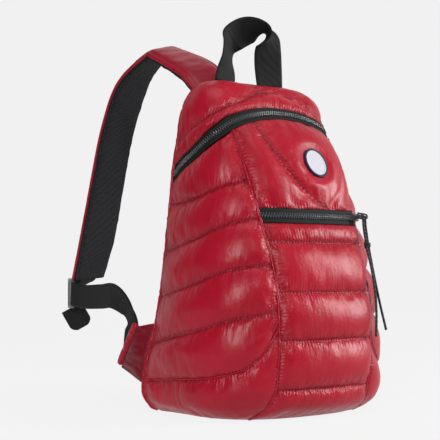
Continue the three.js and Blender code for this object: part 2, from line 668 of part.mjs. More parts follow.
function buildBackPanel() {
  const across = steps(6).map((t) => lerp(-1, 1, t));
  const outer = [];
  const inner = [];
  for (const z of backRows()) {
    const v = clamp(levelOf(z), 0.0005, 0.9995);
    const row = section(v);
    const deep = frameAt(1, v).inward;
    const loft = BACK_LOFT * smooth(0.02, 0.1, v) * (1 - smooth(0.85, 0.97, v));
    const half = row.rearEdge - SEAM_GAP;
    outer.push(across.map((a) => vec(a * half, row.rear + loft * (1 - a ** 4), row.z)));
    inner.push(across.map((a) => vec(a * (half - WALL), row.rear - WALL, row.z + deep.z * WALL)));
  }
  add('back_panel', slab(outer, inner), BLACK);
  return { outer, inner };
}

// Base: a slab with mitred edges between the foot of the walls.
function buildBase() {
  const ring = (depth) => {
    const list = around(frontColumns(10)()).map((s) => place(s, 0, -depth));
    const last = list[list.length - 1];
    const first = list[0];
    for (const t of [0.25, 0.5, 0.75]) list.push(last.clone().lerp(first, t));
    return list;
  };
  const shrink = (list) => {
    const middle = vec(0, 0.03 * BODY_DEPTH, list[0].z);
    return list.map((p) => p.clone().sub(middle).multiplyScalar(1 - (2.6 * SEAM_GAP) / HALF).add(middle));
  };
  const bottom = shrink(ring(0));
  const top = shrink(ring(WALL));
  const count = bottom.length;
  const corners = [...bottom, ...top].map((p) => [p.x, p.y, p.z]);
  const faces = [];
  for (let i = 0; i < count; i += 1) {
    const j = (i + 1) % count;
    faces.push([i, j, count + j], [i, count + j, count + i]);
  }
  const flat = bottom.map((p) => new THREE.Vector2(p.x, p.y));
  for (const [a, b, c] of THREE.ShapeUtils.triangulateShape(flat, [])) {
    faces.push([a, c, b], [count + a, count + b, count + c]);
  }
  add('base_panel', solidOf(corners, faces), DARK_RED);
}

// Band that follows a zip, between two distances from its middle and two lifts.
function zipBand(height, stations, halfWidth, low, high) {
  const line = (distance, lift) => stations.map((s) => place(s, levelOf(beside(height, s, distance)), lift));
  const outer = [line(-halfWidth, high), line(halfWidth, high)];
  const inner = [line(-halfWidth, low), line(halfWidth, low)];
  return slab(outer, inner);
}

function buildZip(name, height, stations) {
  const face = -ZIP_SINK;
  const chainLow = face + SEAT_GAP;
  const tape = zipBand(height, stations, ZIP_WIDTH / 2, face - ZIP_TAPE, face);
  add(`${name}_zip_tape`, tape, TAPE_BLACK);
  const teeth = zipBand(height, stations, ZIP_CHAIN_WIDTH / 2, chainLow, chainLow + ZIP_CHAIN_RISE);
  add(`${name}_zip_teeth`, teeth, PLASTIC);
}

// Slider: a plate over the teeth with an arched bridge. Local x runs along the zip.
function buildSlider(name, s, z) {
  const seat = -ZIP_SINK + SEAT_GAP + ZIP_CHAIN_RISE + SEAT_GAP;
  const plate = new THREE.BoxGeometry(SLIDER_LENGTH, SLIDER_WIDTH, SLIDER_PLATE);
  plate.translate(0, 0, SLIDER_PLATE / 2);
  const arch = new THREE.Shape();
  const half = SLIDER_LENGTH * 0.36;
  const foot = SLIDER_PLATE * 0.5;
  arch.moveTo(-half, foot);
  arch.lineTo(half, foot);
  arch.lineTo(half, SLIDER_PLATE + BRIDGE_RISE - BRIDGE_BAR);
  arch.lineTo(half - BRIDGE_BAR, SLIDER_PLATE + BRIDGE_RISE);
  arch.lineTo(-half + BRIDGE_BAR, SLIDER_PLATE + BRIDGE_RISE);
  arch.lineTo(-half, SLIDER_PLATE + BRIDGE_RISE - BRIDGE_BAR);
  const eye = new THREE.Path();
  const inside = half - BRIDGE_BAR;
  eye.moveTo(-inside, SLIDER_PLATE);
  eye.lineTo(-inside, SLIDER_PLATE + BRIDGE_RISE - BRIDGE_BAR);
  eye.lineTo(inside, SLIDER_PLATE + BRIDGE_RISE - BRIDGE_BAR);
  eye.lineTo(inside, SLIDER_PLATE);
  arch.holes.push(eye);
  const bridge = new THREE.ExtrudeGeometry(arch, { depth: BRIDGE_WIDTH, bevelEnabled: false });
  bridge.rotateX(Math.PI / 2);
  bridge.translate(0, BRIDGE_WIDTH / 2, 0);
  const stand = surfaceFrame(s, z, seat);
  add(`${name}_zip_slider`, join(plate, bridge).applyMatrix4(stand), PLASTIC);
  buildPull(name, stand);
}

// Pull: a flat link round the bridge with a hole at its outer end.
function buildPull(name, stand) {
  const bar = SLIDER_PLATE + BRIDGE_RISE - BRIDGE_BAR / 2;
  const slack = 2 * SEAT_GAP;
  const start = -BRIDGE_BAR / 2 - slack - PULL_RIM;
  const half = PULL_WIDTH / 2;
  const link = new THREE.Shape();
  link.moveTo(start, -half);
  link.lineTo(start + PULL_LENGTH - half, -half);
  link.absarc(start + PULL_LENGTH - half, 0, half, -Math.PI / 2, Math.PI / 2);
  link.lineTo(start, half);
  const eye = new THREE.Path();
  const eyeHalf = BRIDGE_WIDTH / 2 + slack;
  eye.moveTo(start + PULL_RIM, -eyeHalf);
  eye.lineTo(start + PULL_RIM, eyeHalf);
  eye.lineTo(BRIDGE_BAR / 2 + slack, eyeHalf);
  eye.lineTo(BRIDGE_BAR / 2 + slack, -eyeHalf);
  const hole = new THREE.Path();
  hole.absarc(start + PULL_LENGTH - half, 0, CORD_WIDTH / 2 + slack, 0, 2 * Math.PI, true);
  link.holes.push(eye, hole);
  const plate = new THREE.ExtrudeGeometry(link, { depth: PULL_PLATE, bevelEnabled: false, curveSegments: 5 });
  // Shape x becomes local z (out), shape y stays up, and the plate is centred along the zip.
  plate.rotateY(-Math.PI / 2);
  plate.translate(PULL_PLATE / 2, 0, 0);
  const hang = new THREE.Matrix4().makeRotationX(THREE.MathUtils.degToRad(PULL_SAG)).setPosition(0, 0, bar);
  hang.premultiply(stand);
  add(`${name}_zip_pull`, tidy(plate).applyMatrix4(hang), PLASTIC);
  if (name === 'pocket') buildBight(hang, start + PULL_LENGTH - half);
}

// Turn of the cord through the hole of the pull.
function buildBight(hang, out) {
  const radius = PULL_PLATE / 2 + 2 * SEAT_GAP + CORD_WIDTH / 2;
  const turn = steps(8).map((t) => {
    const a = lerp(0, Math.PI, t);
    return vec(radius * Math.cos(a), radius * (Math.sin(a) - 1), out).applyMatrix4(hang);
  });
  add('pull_cord_bight', tube(turn), BLACK);
}

function tube(points) {
  const curve = new THREE.CatmullRomCurve3(points, false, 'centripetal');
  const count = Math.max(4, Math.ceil(curve.getLength() / (2.6 * CORD_WIDTH)));
  const round = new THREE.Shape();
  steps(8).slice(0, 8).forEach((t, i) => {
    const a = 2 * Math.PI * t;
    const at = [Math.cos(a) * CORD_WIDTH / 2, Math.sin(a) * CORD_WIDTH / 2];
    if (i === 0) round.moveTo(...at);
    else round.lineTo(...at);
  });
  return tidy(new THREE.ExtrudeGeometry(round, { steps: count, extrudePath: curve, curveSegments: 1 }));
}

function buildPullCord() {
  const routes = {
    pull_cord_strand_long: LONG_STRAND,
    pull_cord_strand_short: SHORT_STRAND,
    pull_cord_tail_long: LONG_TAIL,
    pull_cord_tail_short: SHORT_TAIL,
  };
  for (const [name, points] of Object.entries(routes)) {
    add(name, tube(points.map((p) => vec(...p))), BLACK);
  }
  const top = vec(...LONG_STRAND.at(-1)).lerp(vec(...SHORT_STRAND.at(-1)), 0.5);
  const bottom = vec(...LONG_TAIL[0]).lerp(vec(...SHORT_TAIL[0]), 0.5);
  const profile = steps(8).map((t) => {
    const a = Math.PI * t;
    return new THREE.Vector2(Math.max(0, Math.sin(a) * KNOT_WIDTH / 2), -Math.cos(a) * KNOT_LENGTH / 2);
  });
  const ball = new THREE.LatheGeometry(profile, 12);
  const way = top.clone().sub(bottom).normalize();
  ball.applyQuaternion(new THREE.Quaternion().setFromUnitVectors(vec(0, 1, 0), way));
  const middle = top.lerp(bottom, 0.5);
  ball.translate(middle.x, middle.y, middle.z);
  add('pull_cord_knot', ball, BLACK);
}

// Ribbon along a route: each station has a centre, the way its width points and, if need be, a
// scale and a tangent of its own. The profile lists [share of the width, distance along the face
// normal] round the section.
function ribbon(stations, width, profile) {
  const count = stations.length;
  const centres = stations.map((p) => p.centre);
  const corners = [];
  stations.forEach((station, i) => {
    const before = centres[Math.max(0, i - 1)];
    const after = centres[Math.min(count - 1, i + 1)];
    const tangent = station.tangent ?? after.clone().sub(before).normalize();
    const wide = station.wide.clone().addScaledVector(tangent, -station.wide.dot(tangent)).normalize();
    const face = wide.clone().cross(tangent).normalize();
    const scale = station.scale ?? 1;
    for (const [share, distance] of profile) {
      const p = centres[i].clone().addScaledVector(wide, share * width * scale);
      p.addScaledVector(face, distance);
      corners.push([p.x, p.y, p.z]);
    }
  });
  const n = profile.length;
  const faces = [];
  for (let i = 0; i + 1 < count; i += 1) {
    for (let k = 0; k < n; k += 1) {
      const next = (k + 1) % n;
      const [a, b] = [i * n + k, i * n + next];
      faces.push([a, b, b + n], [a, b + n, a + n]);
    }
  }
  const flat = profile.map(([share, distance]) => new THREE.Vector2(share * width, distance));
  const clockwise = THREE.ShapeUtils.isClockWise(flat);
  for (const [a, p, q] of THREE.ShapeUtils.triangulateShape(flat, [])) {
    const [b, c] = clockwise ? [q, p] : [p, q];
    faces.push([a, c, b]);
    faces.push([(count - 1) * n + a, (count - 1) * n + b, (count - 1) * n + c]);
  }
  return solidOf(corners, faces);
}

const flatProfile = (low, high) => [[-0.5, high], [0.5, high], [0.5, low], [-0.5, low]];

// Pad profile: crowned outside, with rounded edges.
const padProfile = (low, high) => [
  [-0.5, low], [0.5, low], [0.5, lerp(low, high, 0.45)], [0.44, lerp(low, high, 0.85)],
  [0.22, high], [-0.22, high], [-0.44, lerp(low, high, 0.85)], [-0.5, lerp(low, high, 0.45)],
];

function buildHandle() {
  const ridge = section(1);
  const base = vec(0, lerp(ridge.rear, ridge.front, 0.5), ridge.z + SEAT_GAP);
  const read = (name, t) => along(column(HANDLE, name), t);
  const stations = steps(30).map((t) => {
    const turn = THREE.MathUtils.degToRad(read('turn', t));
    const droop = THREE.MathUtils.degToRad(read('droop', t));
    return {
      centre: vec(read('x', t) * HANDLE_SPAN, base.y, base.z + read('rise', t) * HANDLE_RISE),
      wide: vec(Math.cos(turn) * Math.cos(droop), -Math.sin(turn) * Math.cos(droop), -Math.sin(droop)),
    };
  });
  stations[0].tangent = vec(0, 0, 1);
  stations.at(-1).tangent = vec(0, 0, -1);
  add('carry_handle', ribbon(stations, HANDLE_WIDTH, flatProfile(-HANDLE_WEB / 2, HANDLE_WEB / 2)), BLACK);
}

// Point of a strap or webbing table at t.
function routePoint(table, way, t) {
  const seam = section(1).rear + 0.04 * BODY_DEPTH;
  const read = (name) => along(column(table, name), t);
  return vec(way * read('out') * HALF, seam + read('back') * STRAP_REACH, read('high') * BODY_HEIGHT);
}

// Stations of a strap. way is -1 on the left and 1 on the right.
function strapStations(table, way, count) {
  return steps(count).map((t) => {
    const turn = THREE.MathUtils.degToRad(along(column(table, 'turn'), t));
    const tilt = THREE.MathUtils.degToRad(along(column(table, 'tilt'), t));
    const level = Math.cos(tilt);
    return {
      centre: routePoint(table, way, t),
      wide: vec(Math.cos(turn) * level, -way * Math.sin(turn) * level, -way * Math.sin(tilt)),
    };
  });
}

function webStations(table, way, count) {
  const read = (name, t) => along(column(table, name), t);
  return steps(count).map((t) => ({
    centre: routePoint(table, way, t),
    wide: vec(-way * read('wx', t), read('wy', t), read('wz', t)),
  }));
}

// Ladder-lock buckle: a bowed frame with two slots. Local x lies along the webbing, y along the
// bars and z out of the face.
function buckleGeometry() {
  const half = BUCKLE_LENGTH / 2;
  const side = new THREE.Shape();
  const bow = (x) => BUCKLE_BOW * (1 - (x / half) ** 2);
  const xs = steps(8).map((t) => lerp(-half, half, t));
  xs.forEach((x, i) => (i === 0 ? side.moveTo(x, bow(x)) : side.lineTo(x, bow(x))));
  [...xs].reverse().forEach((x) => side.lineTo(x, bow(x) + BUCKLE_PLATE));
  const body = new THREE.ExtrudeGeometry(side, { depth: BUCKLE_WIDTH, bevelEnabled: false });
  body.rotateX(Math.PI / 2);
  body.translate(0, BUCKLE_WIDTH / 2, 0);
  const slotLength = (BUCKLE_LENGTH - 3 * BUCKLE_BAR) / 2;
  const slots = [-1, 1].map((way) => {
    const slot = new THREE.BoxGeometry(slotLength, WEB_WIDTH + 2 * SEAT_GAP, 4 * BUCKLE_PLATE);
    return slot.translate(way * (slotLength + BUCKLE_BAR) / 2, 0, BUCKLE_PLATE);
  });
  return cut(body, ...slots);
}

// Matrix with x along a direction, y as near as possible to another, at a point.
function frameAlong(point, direction, bars) {
  const x = direction.clone().normalize();
  const y = bars.clone().addScaledVector(x, -bars.dot(x)).normalize();
  return new THREE.Matrix4().makeBasis(x, y, x.clone().cross(y)).setPosition(point);
}

// Anchor wing: a cloth patch from the back edge of the body to the folded hem that holds the
// webbing.
function buildWing(side, way) {
  const seamPoint = (z) => outlinePoint(way, levelOf(z)).add(vec(0, 3 * SEAT_GAP, 0));
  const [hemTop, hemLow] = [WING_HEM.top, WING_HEM.low].map(({ out, reach, high }) => (
    vec(way * out * HALF, BODY_DEPTH / 2 + reach * WING_REACH, high * BODY_HEIGHT)
  ));
  const rising = hemTop.clone().sub(seamPoint(WING_LOW));
  const flat = rising.cross(hemLow.clone().sub(seamPoint(WING_TOP))).normalize();
  const sheet = (lift) => steps(6).map((r) => steps(3).map((t) => {
    const onHem = hemLow.clone().lerp(hemTop, r);
    return seamPoint(lerp(WING_LOW, WING_TOP, r)).lerp(onHem, t).addScaledVector(flat, lift);
  }));
  add(`anchor_wing_${side}`, slab(sheet(WING_CLOTH / 2), sheet(-WING_CLOTH / 2)), DARK_RED);

  const edge = hemTop.clone().sub(hemLow).normalize();
  const outward = flat.clone().cross(edge).normalize();
  if (outward.y < 0) outward.negate();
  const rail = steps(4).map((t) => ({
    centre: hemLow.clone().lerp(hemTop, t).addScaledVector(outward, HEM_WIDTH / 2 + 2 * SEAT_GAP),
    wide: outward,
  }));
  const soft = HEM_THICK / 2;
  const hem = [[-0.5, -0.5 * soft], [-0.25, -soft], [0.25, -soft], [0.5, -0.5 * soft],
    [0.5, 0.5 * soft], [0.25, soft], [-0.25, soft], [-0.5, 0.5 * soft]];
  add(`wing_hem_${side}`, ribbon(rail, HEM_WIDTH, hem), RED);
}

function buildStrap(side, way, table, webTable, tools) {
  const pad = padProfile(SEAT_GAP / 2, STRAP_PAD);
  const lining = flatProfile(-STRAP_MESH - SEAT_GAP / 2, -SEAT_GAP / 2);
  const stations = strapStations(table, way, 26);
  add(`shoulder_strap_${side}`, trim(ribbon(stations, STRAP_WIDTH, pad), ...tools), RED);
  add(`strap_lining_${side}`, trim(ribbon(stations, STRAP_WIDTH, lining), ...tools), MESH_BLACK);

  // The buckle stands between the strap's end and the adjuster webbing.
  const webRoute = webStations(webTable, way, 18);
  const webEnd = webRoute.at(-1).centre;
  const clear = CLEAR[side];
  const webWay = webEnd.clone().sub(webRoute.at(-3).centre).normalize();
  const strapEnd = stations.at(-1).centre;
  const strapWay = strapEnd.clone().sub(stations.at(-2).centre).normalize();
  const bars = webRoute.at(-1).wide;
  const turnIn = webWay.clone();
  if (side === 'left') turnIn.lerp(vec(...LEFT_BUCKLE.towards), LEFT_BUCKLE.share).normalize();
  const middle = webEnd.clone().addScaledVector(turnIn, BUCKLE_LENGTH / 2 + clear.web);
  const seatShift = BUCKLE_BOW / 2 + BUCKLE_PLATE / 2;
  const stand = frameAlong(middle, turnIn, bars);
  const buckle = buckleGeometry().translate(0, 0, -seatShift).applyMatrix4(stand);
  add(`ladder_lock_${side}`, buckle, PLASTIC);
  add(`adjuster_webbing_${side}`, ribbon(webRoute, WEB_WIDTH, flatProfile(-WEB / 2, WEB / 2)), BLACK);

  // Short webbing from the strap's end to the far bar of the buckle.
  const from = strapEnd.clone().addScaledVector(strapWay, clear.tab);
  const to = middle.clone().addScaledVector(turnIn, BUCKLE_LENGTH / 2 + clear.bar);
  const bend = to.clone().addScaledVector(turnIn, TAB_BEND);
  const dip = from.clone().addScaledVector(strapWay, TAB_LEAD);
  const curve = new THREE.CubicBezierCurve3(from, dip, bend, to);
  const wideFrom = stations.at(-1).wide;
  const wideTo = bars.clone().multiplyScalar(Math.sign(bars.dot(wideFrom)) || 1);
  const tab = steps(12).map((t) => ({
    centre: curve.getPoint(t),
    wide: wideFrom.clone().lerp(wideTo, smooth(0, 0.8, t)),
  }));
  add(`strap_tab_${side}`, ribbon(tab, WEB_WIDTH, flatProfile(-WEB / 2, WEB / 2)), BLACK);
  return stand;
}

// Free end of the webbing with a rounded tip, at the buckle that stands at the matrix.
function buildTail(side, stand) {
  const { x, y, z, way, wide } = TAILS[side];
  const start = vec(x * BUCKLE_LENGTH, y * BUCKLE_WIDTH, z * BUCKLE_PLATE);
  const stations = steps(6).map((t) => {
    const tip = Math.max(0, (t - 1 + TAIL_ROUND) / TAIL_ROUND);
    return {
      centre: start.clone().addScaledVector(vec(...way), TAIL_LENGTH * t).applyMatrix4(stand),
      wide: vec(...wide).transformDirection(stand),
      scale: Math.sqrt(1 - 0.75 * tip * tip),
    };
  });
  add(`webbing_tail_${side}`, ribbon(stations, WEB_WIDTH, flatProfile(-WEB / 2, WEB / 2)), BLACK);
}

// Grown copy of a wall, used to trim what is sewn on to it: its outer face moves out and its
// inner face deeper. spread widens it so that it also covers the seam round it.
function grown({ outer, inner }, spread) {
  const centre = vec(0, 0, 0.5 * BODY_HEIGHT);
  const move = (rows, others, distance) => rows.map((row, i) => row.map((p, j) => {
    const through = p.clone().sub(others[i][j]).normalize();
    const wider = vec(p.x, 0, p.z - centre.z).normalize().multiplyScalar(spread);
    return p.clone().add(wider).addScaledVector(through, distance);
  }));
  return slab(move(outer, inner, 1.6 * SEAT_GAP), move(inner, outer, WALL));
}

buildFrontPanels();
buildSidePanels();
const capTool = grown(buildTopPanel(), 0);
const backTool = grown(buildBackPanel(), 4 * SEAT_GAP);
buildBase();
buildZip('top', zipHeight, around(upperColumns(1)));
buildZip('pocket', pocketZip, frontColumns(10)());
buildSlider('top', TOP_SLIDER_AT, zipHeight(TOP_SLIDER_AT));
buildSlider('pocket', POCKET_SLIDER_AT, POCKET_ZIP_HEIGHT);
buildPullCord();
buildHandle();
const leftLock = buildStrap('left', -1, LEFT_STRAP, LEFT_WEB, [capTool, backTool]);
const rightLock = buildStrap('right', 1, RIGHT_STRAP, RIGHT_WEB, [capTool, backTool]);
buildWing('left', -1);
buildWing('right', 1);
buildTail('left', leftLock);
buildTail('right', rightLock);

export default bag;
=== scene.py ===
"""Looks of the quilted puffer backpack, in metres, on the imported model's frame."""
import math
from contextlib import contextmanager

import bmesh
import bpy
import numpy as np
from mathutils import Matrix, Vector


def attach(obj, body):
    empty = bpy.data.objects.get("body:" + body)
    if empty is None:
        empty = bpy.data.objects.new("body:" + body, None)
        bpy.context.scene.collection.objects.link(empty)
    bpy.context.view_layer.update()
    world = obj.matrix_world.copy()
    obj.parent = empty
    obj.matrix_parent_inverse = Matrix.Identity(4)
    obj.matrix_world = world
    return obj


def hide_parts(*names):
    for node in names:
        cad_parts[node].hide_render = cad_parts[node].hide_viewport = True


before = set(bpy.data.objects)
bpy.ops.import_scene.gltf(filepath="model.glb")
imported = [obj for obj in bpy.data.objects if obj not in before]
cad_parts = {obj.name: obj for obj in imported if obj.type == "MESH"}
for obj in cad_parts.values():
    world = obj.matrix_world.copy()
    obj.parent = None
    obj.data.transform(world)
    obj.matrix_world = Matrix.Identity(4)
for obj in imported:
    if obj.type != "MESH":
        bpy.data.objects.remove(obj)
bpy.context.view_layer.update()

MM = 0.001
WAYS = {"left": -1, "right": 1}

# Sizes in millimetres, as in the part's source.
BODY_HEIGHT, BODY_WIDTH, BODY_DEPTH = 351.0, 236.0, 165.0
ROUNDNESS, BELLY = 2.6, 0.42
HALF = BODY_WIDTH / 2
FRONT_SEAM = 0.4
SEAM_SINK, QUILT_LOFT, FULL_CHANNEL, BACK_LOFT = 2.4, 3.6, 40.0, 4.0
ZIP_WIDTH, POCKET_ZIP, ZIP_SINK = 15.0, 203.0, 2.0
STRAP_WIDTH, STRAP_PAD, STRAP_MESH, STRAP_REACH = 52.0, 6.5, 2.0, 220.0
WEB_WIDTH, WEB_THICK, HANDLE_WIDTH, HANDLE_THICK = 28.0, 1.8, 32.0, 2.0
WING_REACH, WING_LOW, WING_TOP = 38.0, 30.0, 92.0
CORD = 2.7

# Levels of the body: height, half widths at the belly and the rear edge, places of the front and
# the rear, half width of the front strip. All are shares of the body's own sizes.
SECTIONS = np.array([
    [0.000, 0.780, 0.814, -0.352, 0.412, 0.600], [0.020, 0.890, 0.915, -0.442, 0.448, 0.575],
    [0.071, 0.966, 0.974, -0.515, 0.467, 0.530], [0.171, 1.000, 0.932, -0.552, 0.448, 0.528],
    [0.299, 0.983, 0.856, -0.552, 0.418, 0.521], [0.427, 0.932, 0.814, -0.509, 0.400, 0.525],
    [0.570, 0.850, 0.780, -0.424, 0.382, 0.556], [0.712, 0.788, 0.746, -0.315, 0.370, 0.576],
    [0.812, 0.737, 0.712, -0.206, 0.352, 0.572], [0.889, 0.695, 0.678, -0.097, 0.345, 0.545],
    [0.946, 0.640, 0.627, 0.012, 0.321, 0.475], [0.983, 0.562, 0.534, 0.115, 0.303, 0.375],
    [1.000, 0.424, 0.398, 0.206, 0.273, 0.270]])
# Heights of the seams as shares, from the front to the rear edge.
TOP_ZIP = [0.895, 0.893, 0.886, 0.874, 0.855, 0.831, 0.808, 0.785, 0.761, 0.739, 0.706]
CAP_STITCH = [0.972, 0.963, 0.946, 0.926, 0.906, 0.886, 0.870, 0.856, 0.841, 0.820, 0.790]
FRONT_STITCHES = [0.149, 0.389, 0.622, 0.868]
SIDE_STITCHES = [
    [0.308, 0.293, 0.275, 0.252, 0.234, 0.217, 0.202], [0.436, 0.430, 0.415, 0.390, 0.369, 0.353, 0.338],
    [0.570, 0.558, 0.541, 0.519, 0.501, 0.486, 0.479], [0.679, 0.667, 0.652, 0.636, 0.626, 0.620, 0.619]]
SIDE_HEM = [0.262, 0.196, 0.154, 0.138, 0.127, 0.120, 0.115, 0.111, 0.108, 0.104, 0.101, 0.097, 0.094]
# Seam across the upper front, from the pocket zip up.
DIAGONAL = [0.200, 0.060, -0.060, -0.150, -0.225, -0.285, -0.325, -0.345, -0.357]
# Handle in millimetres: place of its middle line and the way its width points.
HANDLE = [
    [-33.1, 40.6, 351.4, 0.978, 0.199, -0.060], [-31.5, 40.5, 363.4, 0.949, 0.304, -0.080],
    [-29.6, 40.8, 376.9, 0.836, 0.543, -0.080], [-27.3, 42.4, 387.7, 0.746, 0.515, -0.422],
    [-24.2, 43.3, 395.5, 0.586, 0.279, -0.761], [-18.2, 41.8, 402.4, 0.426, 0.087, -0.901],
    [-7.6, 39.2, 408.7, 0.335, 0.150, -0.930], [4.6, 35.3, 410.5, 0.582, 0.476, -0.659],
    [16.3, 32.2, 409.3, 0.794, 0.573, -0.200], [22.5, 33.9, 400.8, 0.985, 0.143, -0.100],
    [24.7, 37.8, 389.2, 0.968, -0.250, 0.000], [27.3, 40.3, 373.7, 0.946, -0.323, 0.040],
    [29.4, 40.4, 351.4, 0.984, -0.170, -0.060]]
# Straps: out, back and high as shares of HALF, STRAP_REACH and BODY_HEIGHT, turn and tilt in degrees.
STRAPS = {
    "left": [
        [0.345, -0.022, 0.968, 2, 13], [0.372, 0.118, 1.048, 12, 22], [0.407, 0.323, 1.111, 21, 18],
        [0.424, 0.418, 1.122, 23, 14], [0.449, 0.582, 1.071, 17, 9], [0.466, 0.677, 1.003, 11, 8],
        [0.492, 0.764, 0.882, 10, 12], [0.504, 0.827, 0.758, 10, 12], [0.521, 0.884, 0.621, 9, 10],
        [0.542, 0.927, 0.513, 9, 8], [0.559, 0.998, 0.393, 13, 12]],
    "right": [
        [0.345, -0.022, 0.968, 0, 4], [0.365, 0.136, 0.977, 4, 6], [0.390, 0.295, 0.949, 8, 6],
        [0.420, 0.445, 0.892, 10, 6], [0.450, 0.582, 0.806, 10, 6], [0.480, 0.682, 0.698, 10, 5],
        [0.510, 0.736, 0.578, 10, 4], [0.540, 0.741, 0.456, 9, 3], [0.570, 0.705, 0.342, 8, 2],
        [0.600, 0.623, 0.242, 8, 0]]}
# Webbing from the wings to the ladder locks: the same three shares and the way its width points.
WEBS = {
    "left": [
        [0.907, 0.275, 0.178, 0.00, 1.00, -0.10], [0.895, 0.273, 0.243, 0.03, 0.95, -0.30],
        [0.880, 0.300, 0.282, 0.28, 0.80, -0.50], [0.898, 0.350, 0.318, 0.18, 0.66, -0.70],
        [0.881, 0.470, 0.340, 0.00, 0.15, -1.00], [0.839, 0.610, 0.336, 0.00, 0.00, -1.00],
        [0.785, 0.830, 0.332, 0.00, 0.00, -1.00], [0.770, 0.985, 0.340, 0.00, 0.00, -1.00]],
    "right": [
        [0.902, 0.285, 0.170, 0.00, 1.00, -0.10], [0.870, 0.345, 0.130, 0.35, 0.90, 0.20],
        [0.830, 0.405, 0.092, 0.70, 0.60, 0.25], [0.745, 0.455, 0.088, 0.95, 0.25, 0.10]]}
# Strands of the pull cord in millimetres, as in the part's source.
LONG_CORD = [
    [67.98, -69.6, 200.6], [67.4, -70.7, 194], [66.0, -73.4, 187], [64.2, -76.8, 178.6],
    [64.2, -79.0, 169.0], [65.4, -80.1, 160], [67.0, -81.6, 148], [69.4, -83.0, 134],
    [72.2, -84.2, 120], [75.2, -85.2, 107], [78.0, -86.0, 96], [80.6, -86.6, 86]]
SHORT_CORD = [
    [62.75, -71.9, 200.85], [62.3, -72.9, 194], [61.6, -74.8, 187], [61.0, -77.2, 178.6],
    [61.0, -79.4, 169.0], [61.2, -82.2, 160], [61.6, -85.4, 148], [62.0, -88.0, 134],
    [62.2, -90.0, 120], [61.8, -91.4, 107], [61.0, -92.2, 95], [60.0, -92.6, 80]]


def new_object(name, data):
    obj = bpy.data.objects.new(name, data)
    bpy.context.scene.collection.objects.link(obj)
    return obj


# ---- camera ----
FOCAL, FRAME, SENSOR = 1128, 440, 36       # focal length and picture side in pixels, sensor in mm
CAMERA_TURN, CAMERA_AWAY, CAMERA_HIGH = -40, 1.2, 0.15
LOOK_AT_HEIGHT, PAN_LEFT, PAN_UP = 0.195, 53, 6


def set_camera():
    data = bpy.data.cameras.new("camera")
    data.sensor_width = SENSOR
    data.lens = FOCAL / FRAME * SENSOR
    camera = new_object("camera", data)
    turn = math.radians(CAMERA_TURN)
    place = Vector((CAMERA_AWAY * math.sin(turn), -CAMERA_AWAY * math.cos(turn), CAMERA_HIGH))
    ahead = (Vector((0, 0, LOOK_AT_HEIGHT)) - place).normalized()
    right = ahead.cross(Vector((0, 0, 1))).normalized()
    up = right.cross(ahead)
    aim = ahead * FOCAL - right * PAN_LEFT + up * PAN_UP
    camera.location = place
    camera.rotation_euler = aim.to_track_quat("-Z", "Y").to_euler()
    bpy.context.scene.camera = camera


set_camera()


# ---- small helpers ----
def along(values, t):
    """Smooth value between the entries of a list; t runs from 0 to 1."""
    p = np.asarray(values, float)
    last = len(p) - 1
    at = np.clip(t, 0, 1) * last
    i = np.minimum(last - 1, np.floor(at).astype(int))
    f = at - i
    q = np.concatenate([[2 * p[0] - p[1]], p, [2 * p[-1] - p[-2]]])
    p0, p1, p2, p3 = q[i], q[i + 1], q[i + 2], q[i + 3]
    return 0.5 * (2 * p1 + (p2 - p0) * f + (2 * p0 - 5 * p1 + 4 * p2 - p3) * f * f
                  + (3 * p1 - p0 - 3 * p2 + p3) * f * f * f)


def read(table, t):
    """Every column of a table, read smoothly at t."""
    return [along(column, t) for column in np.array(table, float).T]


def smooth(a, b, x):
    t = np.clip((np.asarray(x, float) - a) / (b - a), 0, 1)
    return t * t * (3 - 2 * t)


def unit(v):
    v = np.asarray(v, float)
    return v / np.maximum(1e-12, np.linalg.norm(v, axis=-1, keepdims=True))


def distances(line):
    """Length along a line of points from its start to each of them."""
    return np.concatenate([[0], np.cumsum(np.linalg.norm(np.diff(line, axis=0), axis=1))])


def ripple(x, y, seed):
    """Smooth noise from -1 to 1 on a lattice of unit cells."""
    lattice = np.random.RandomState(seed).rand(64, 64) * 2 - 1
    x, y = np.broadcast_arrays(np.asarray(x, float), np.asarray(y, float))
    i, j = np.floor(x).astype(int), np.floor(y).astype(int)
    u, v = x - i, y - j
    u, v = u * u * (3 - 2 * u), v * v * (3 - 2 * v)

    def pick(a, b):
        return lattice[a % 64, b % 64]

    low = pick(i, j) * (1 - u) + pick(i + 1, j) * u
    high = pick(i, j + 1) * (1 - u) + pick(i + 1, j + 1) * u
    return low * (1 - v) + high * v


# ---- outline of the body ----
LEVELS, TURNS = 420, 241      # rows and columns of the table of the outline
RIGHT_SLACK = 6.0             # how far the right side sags inwards


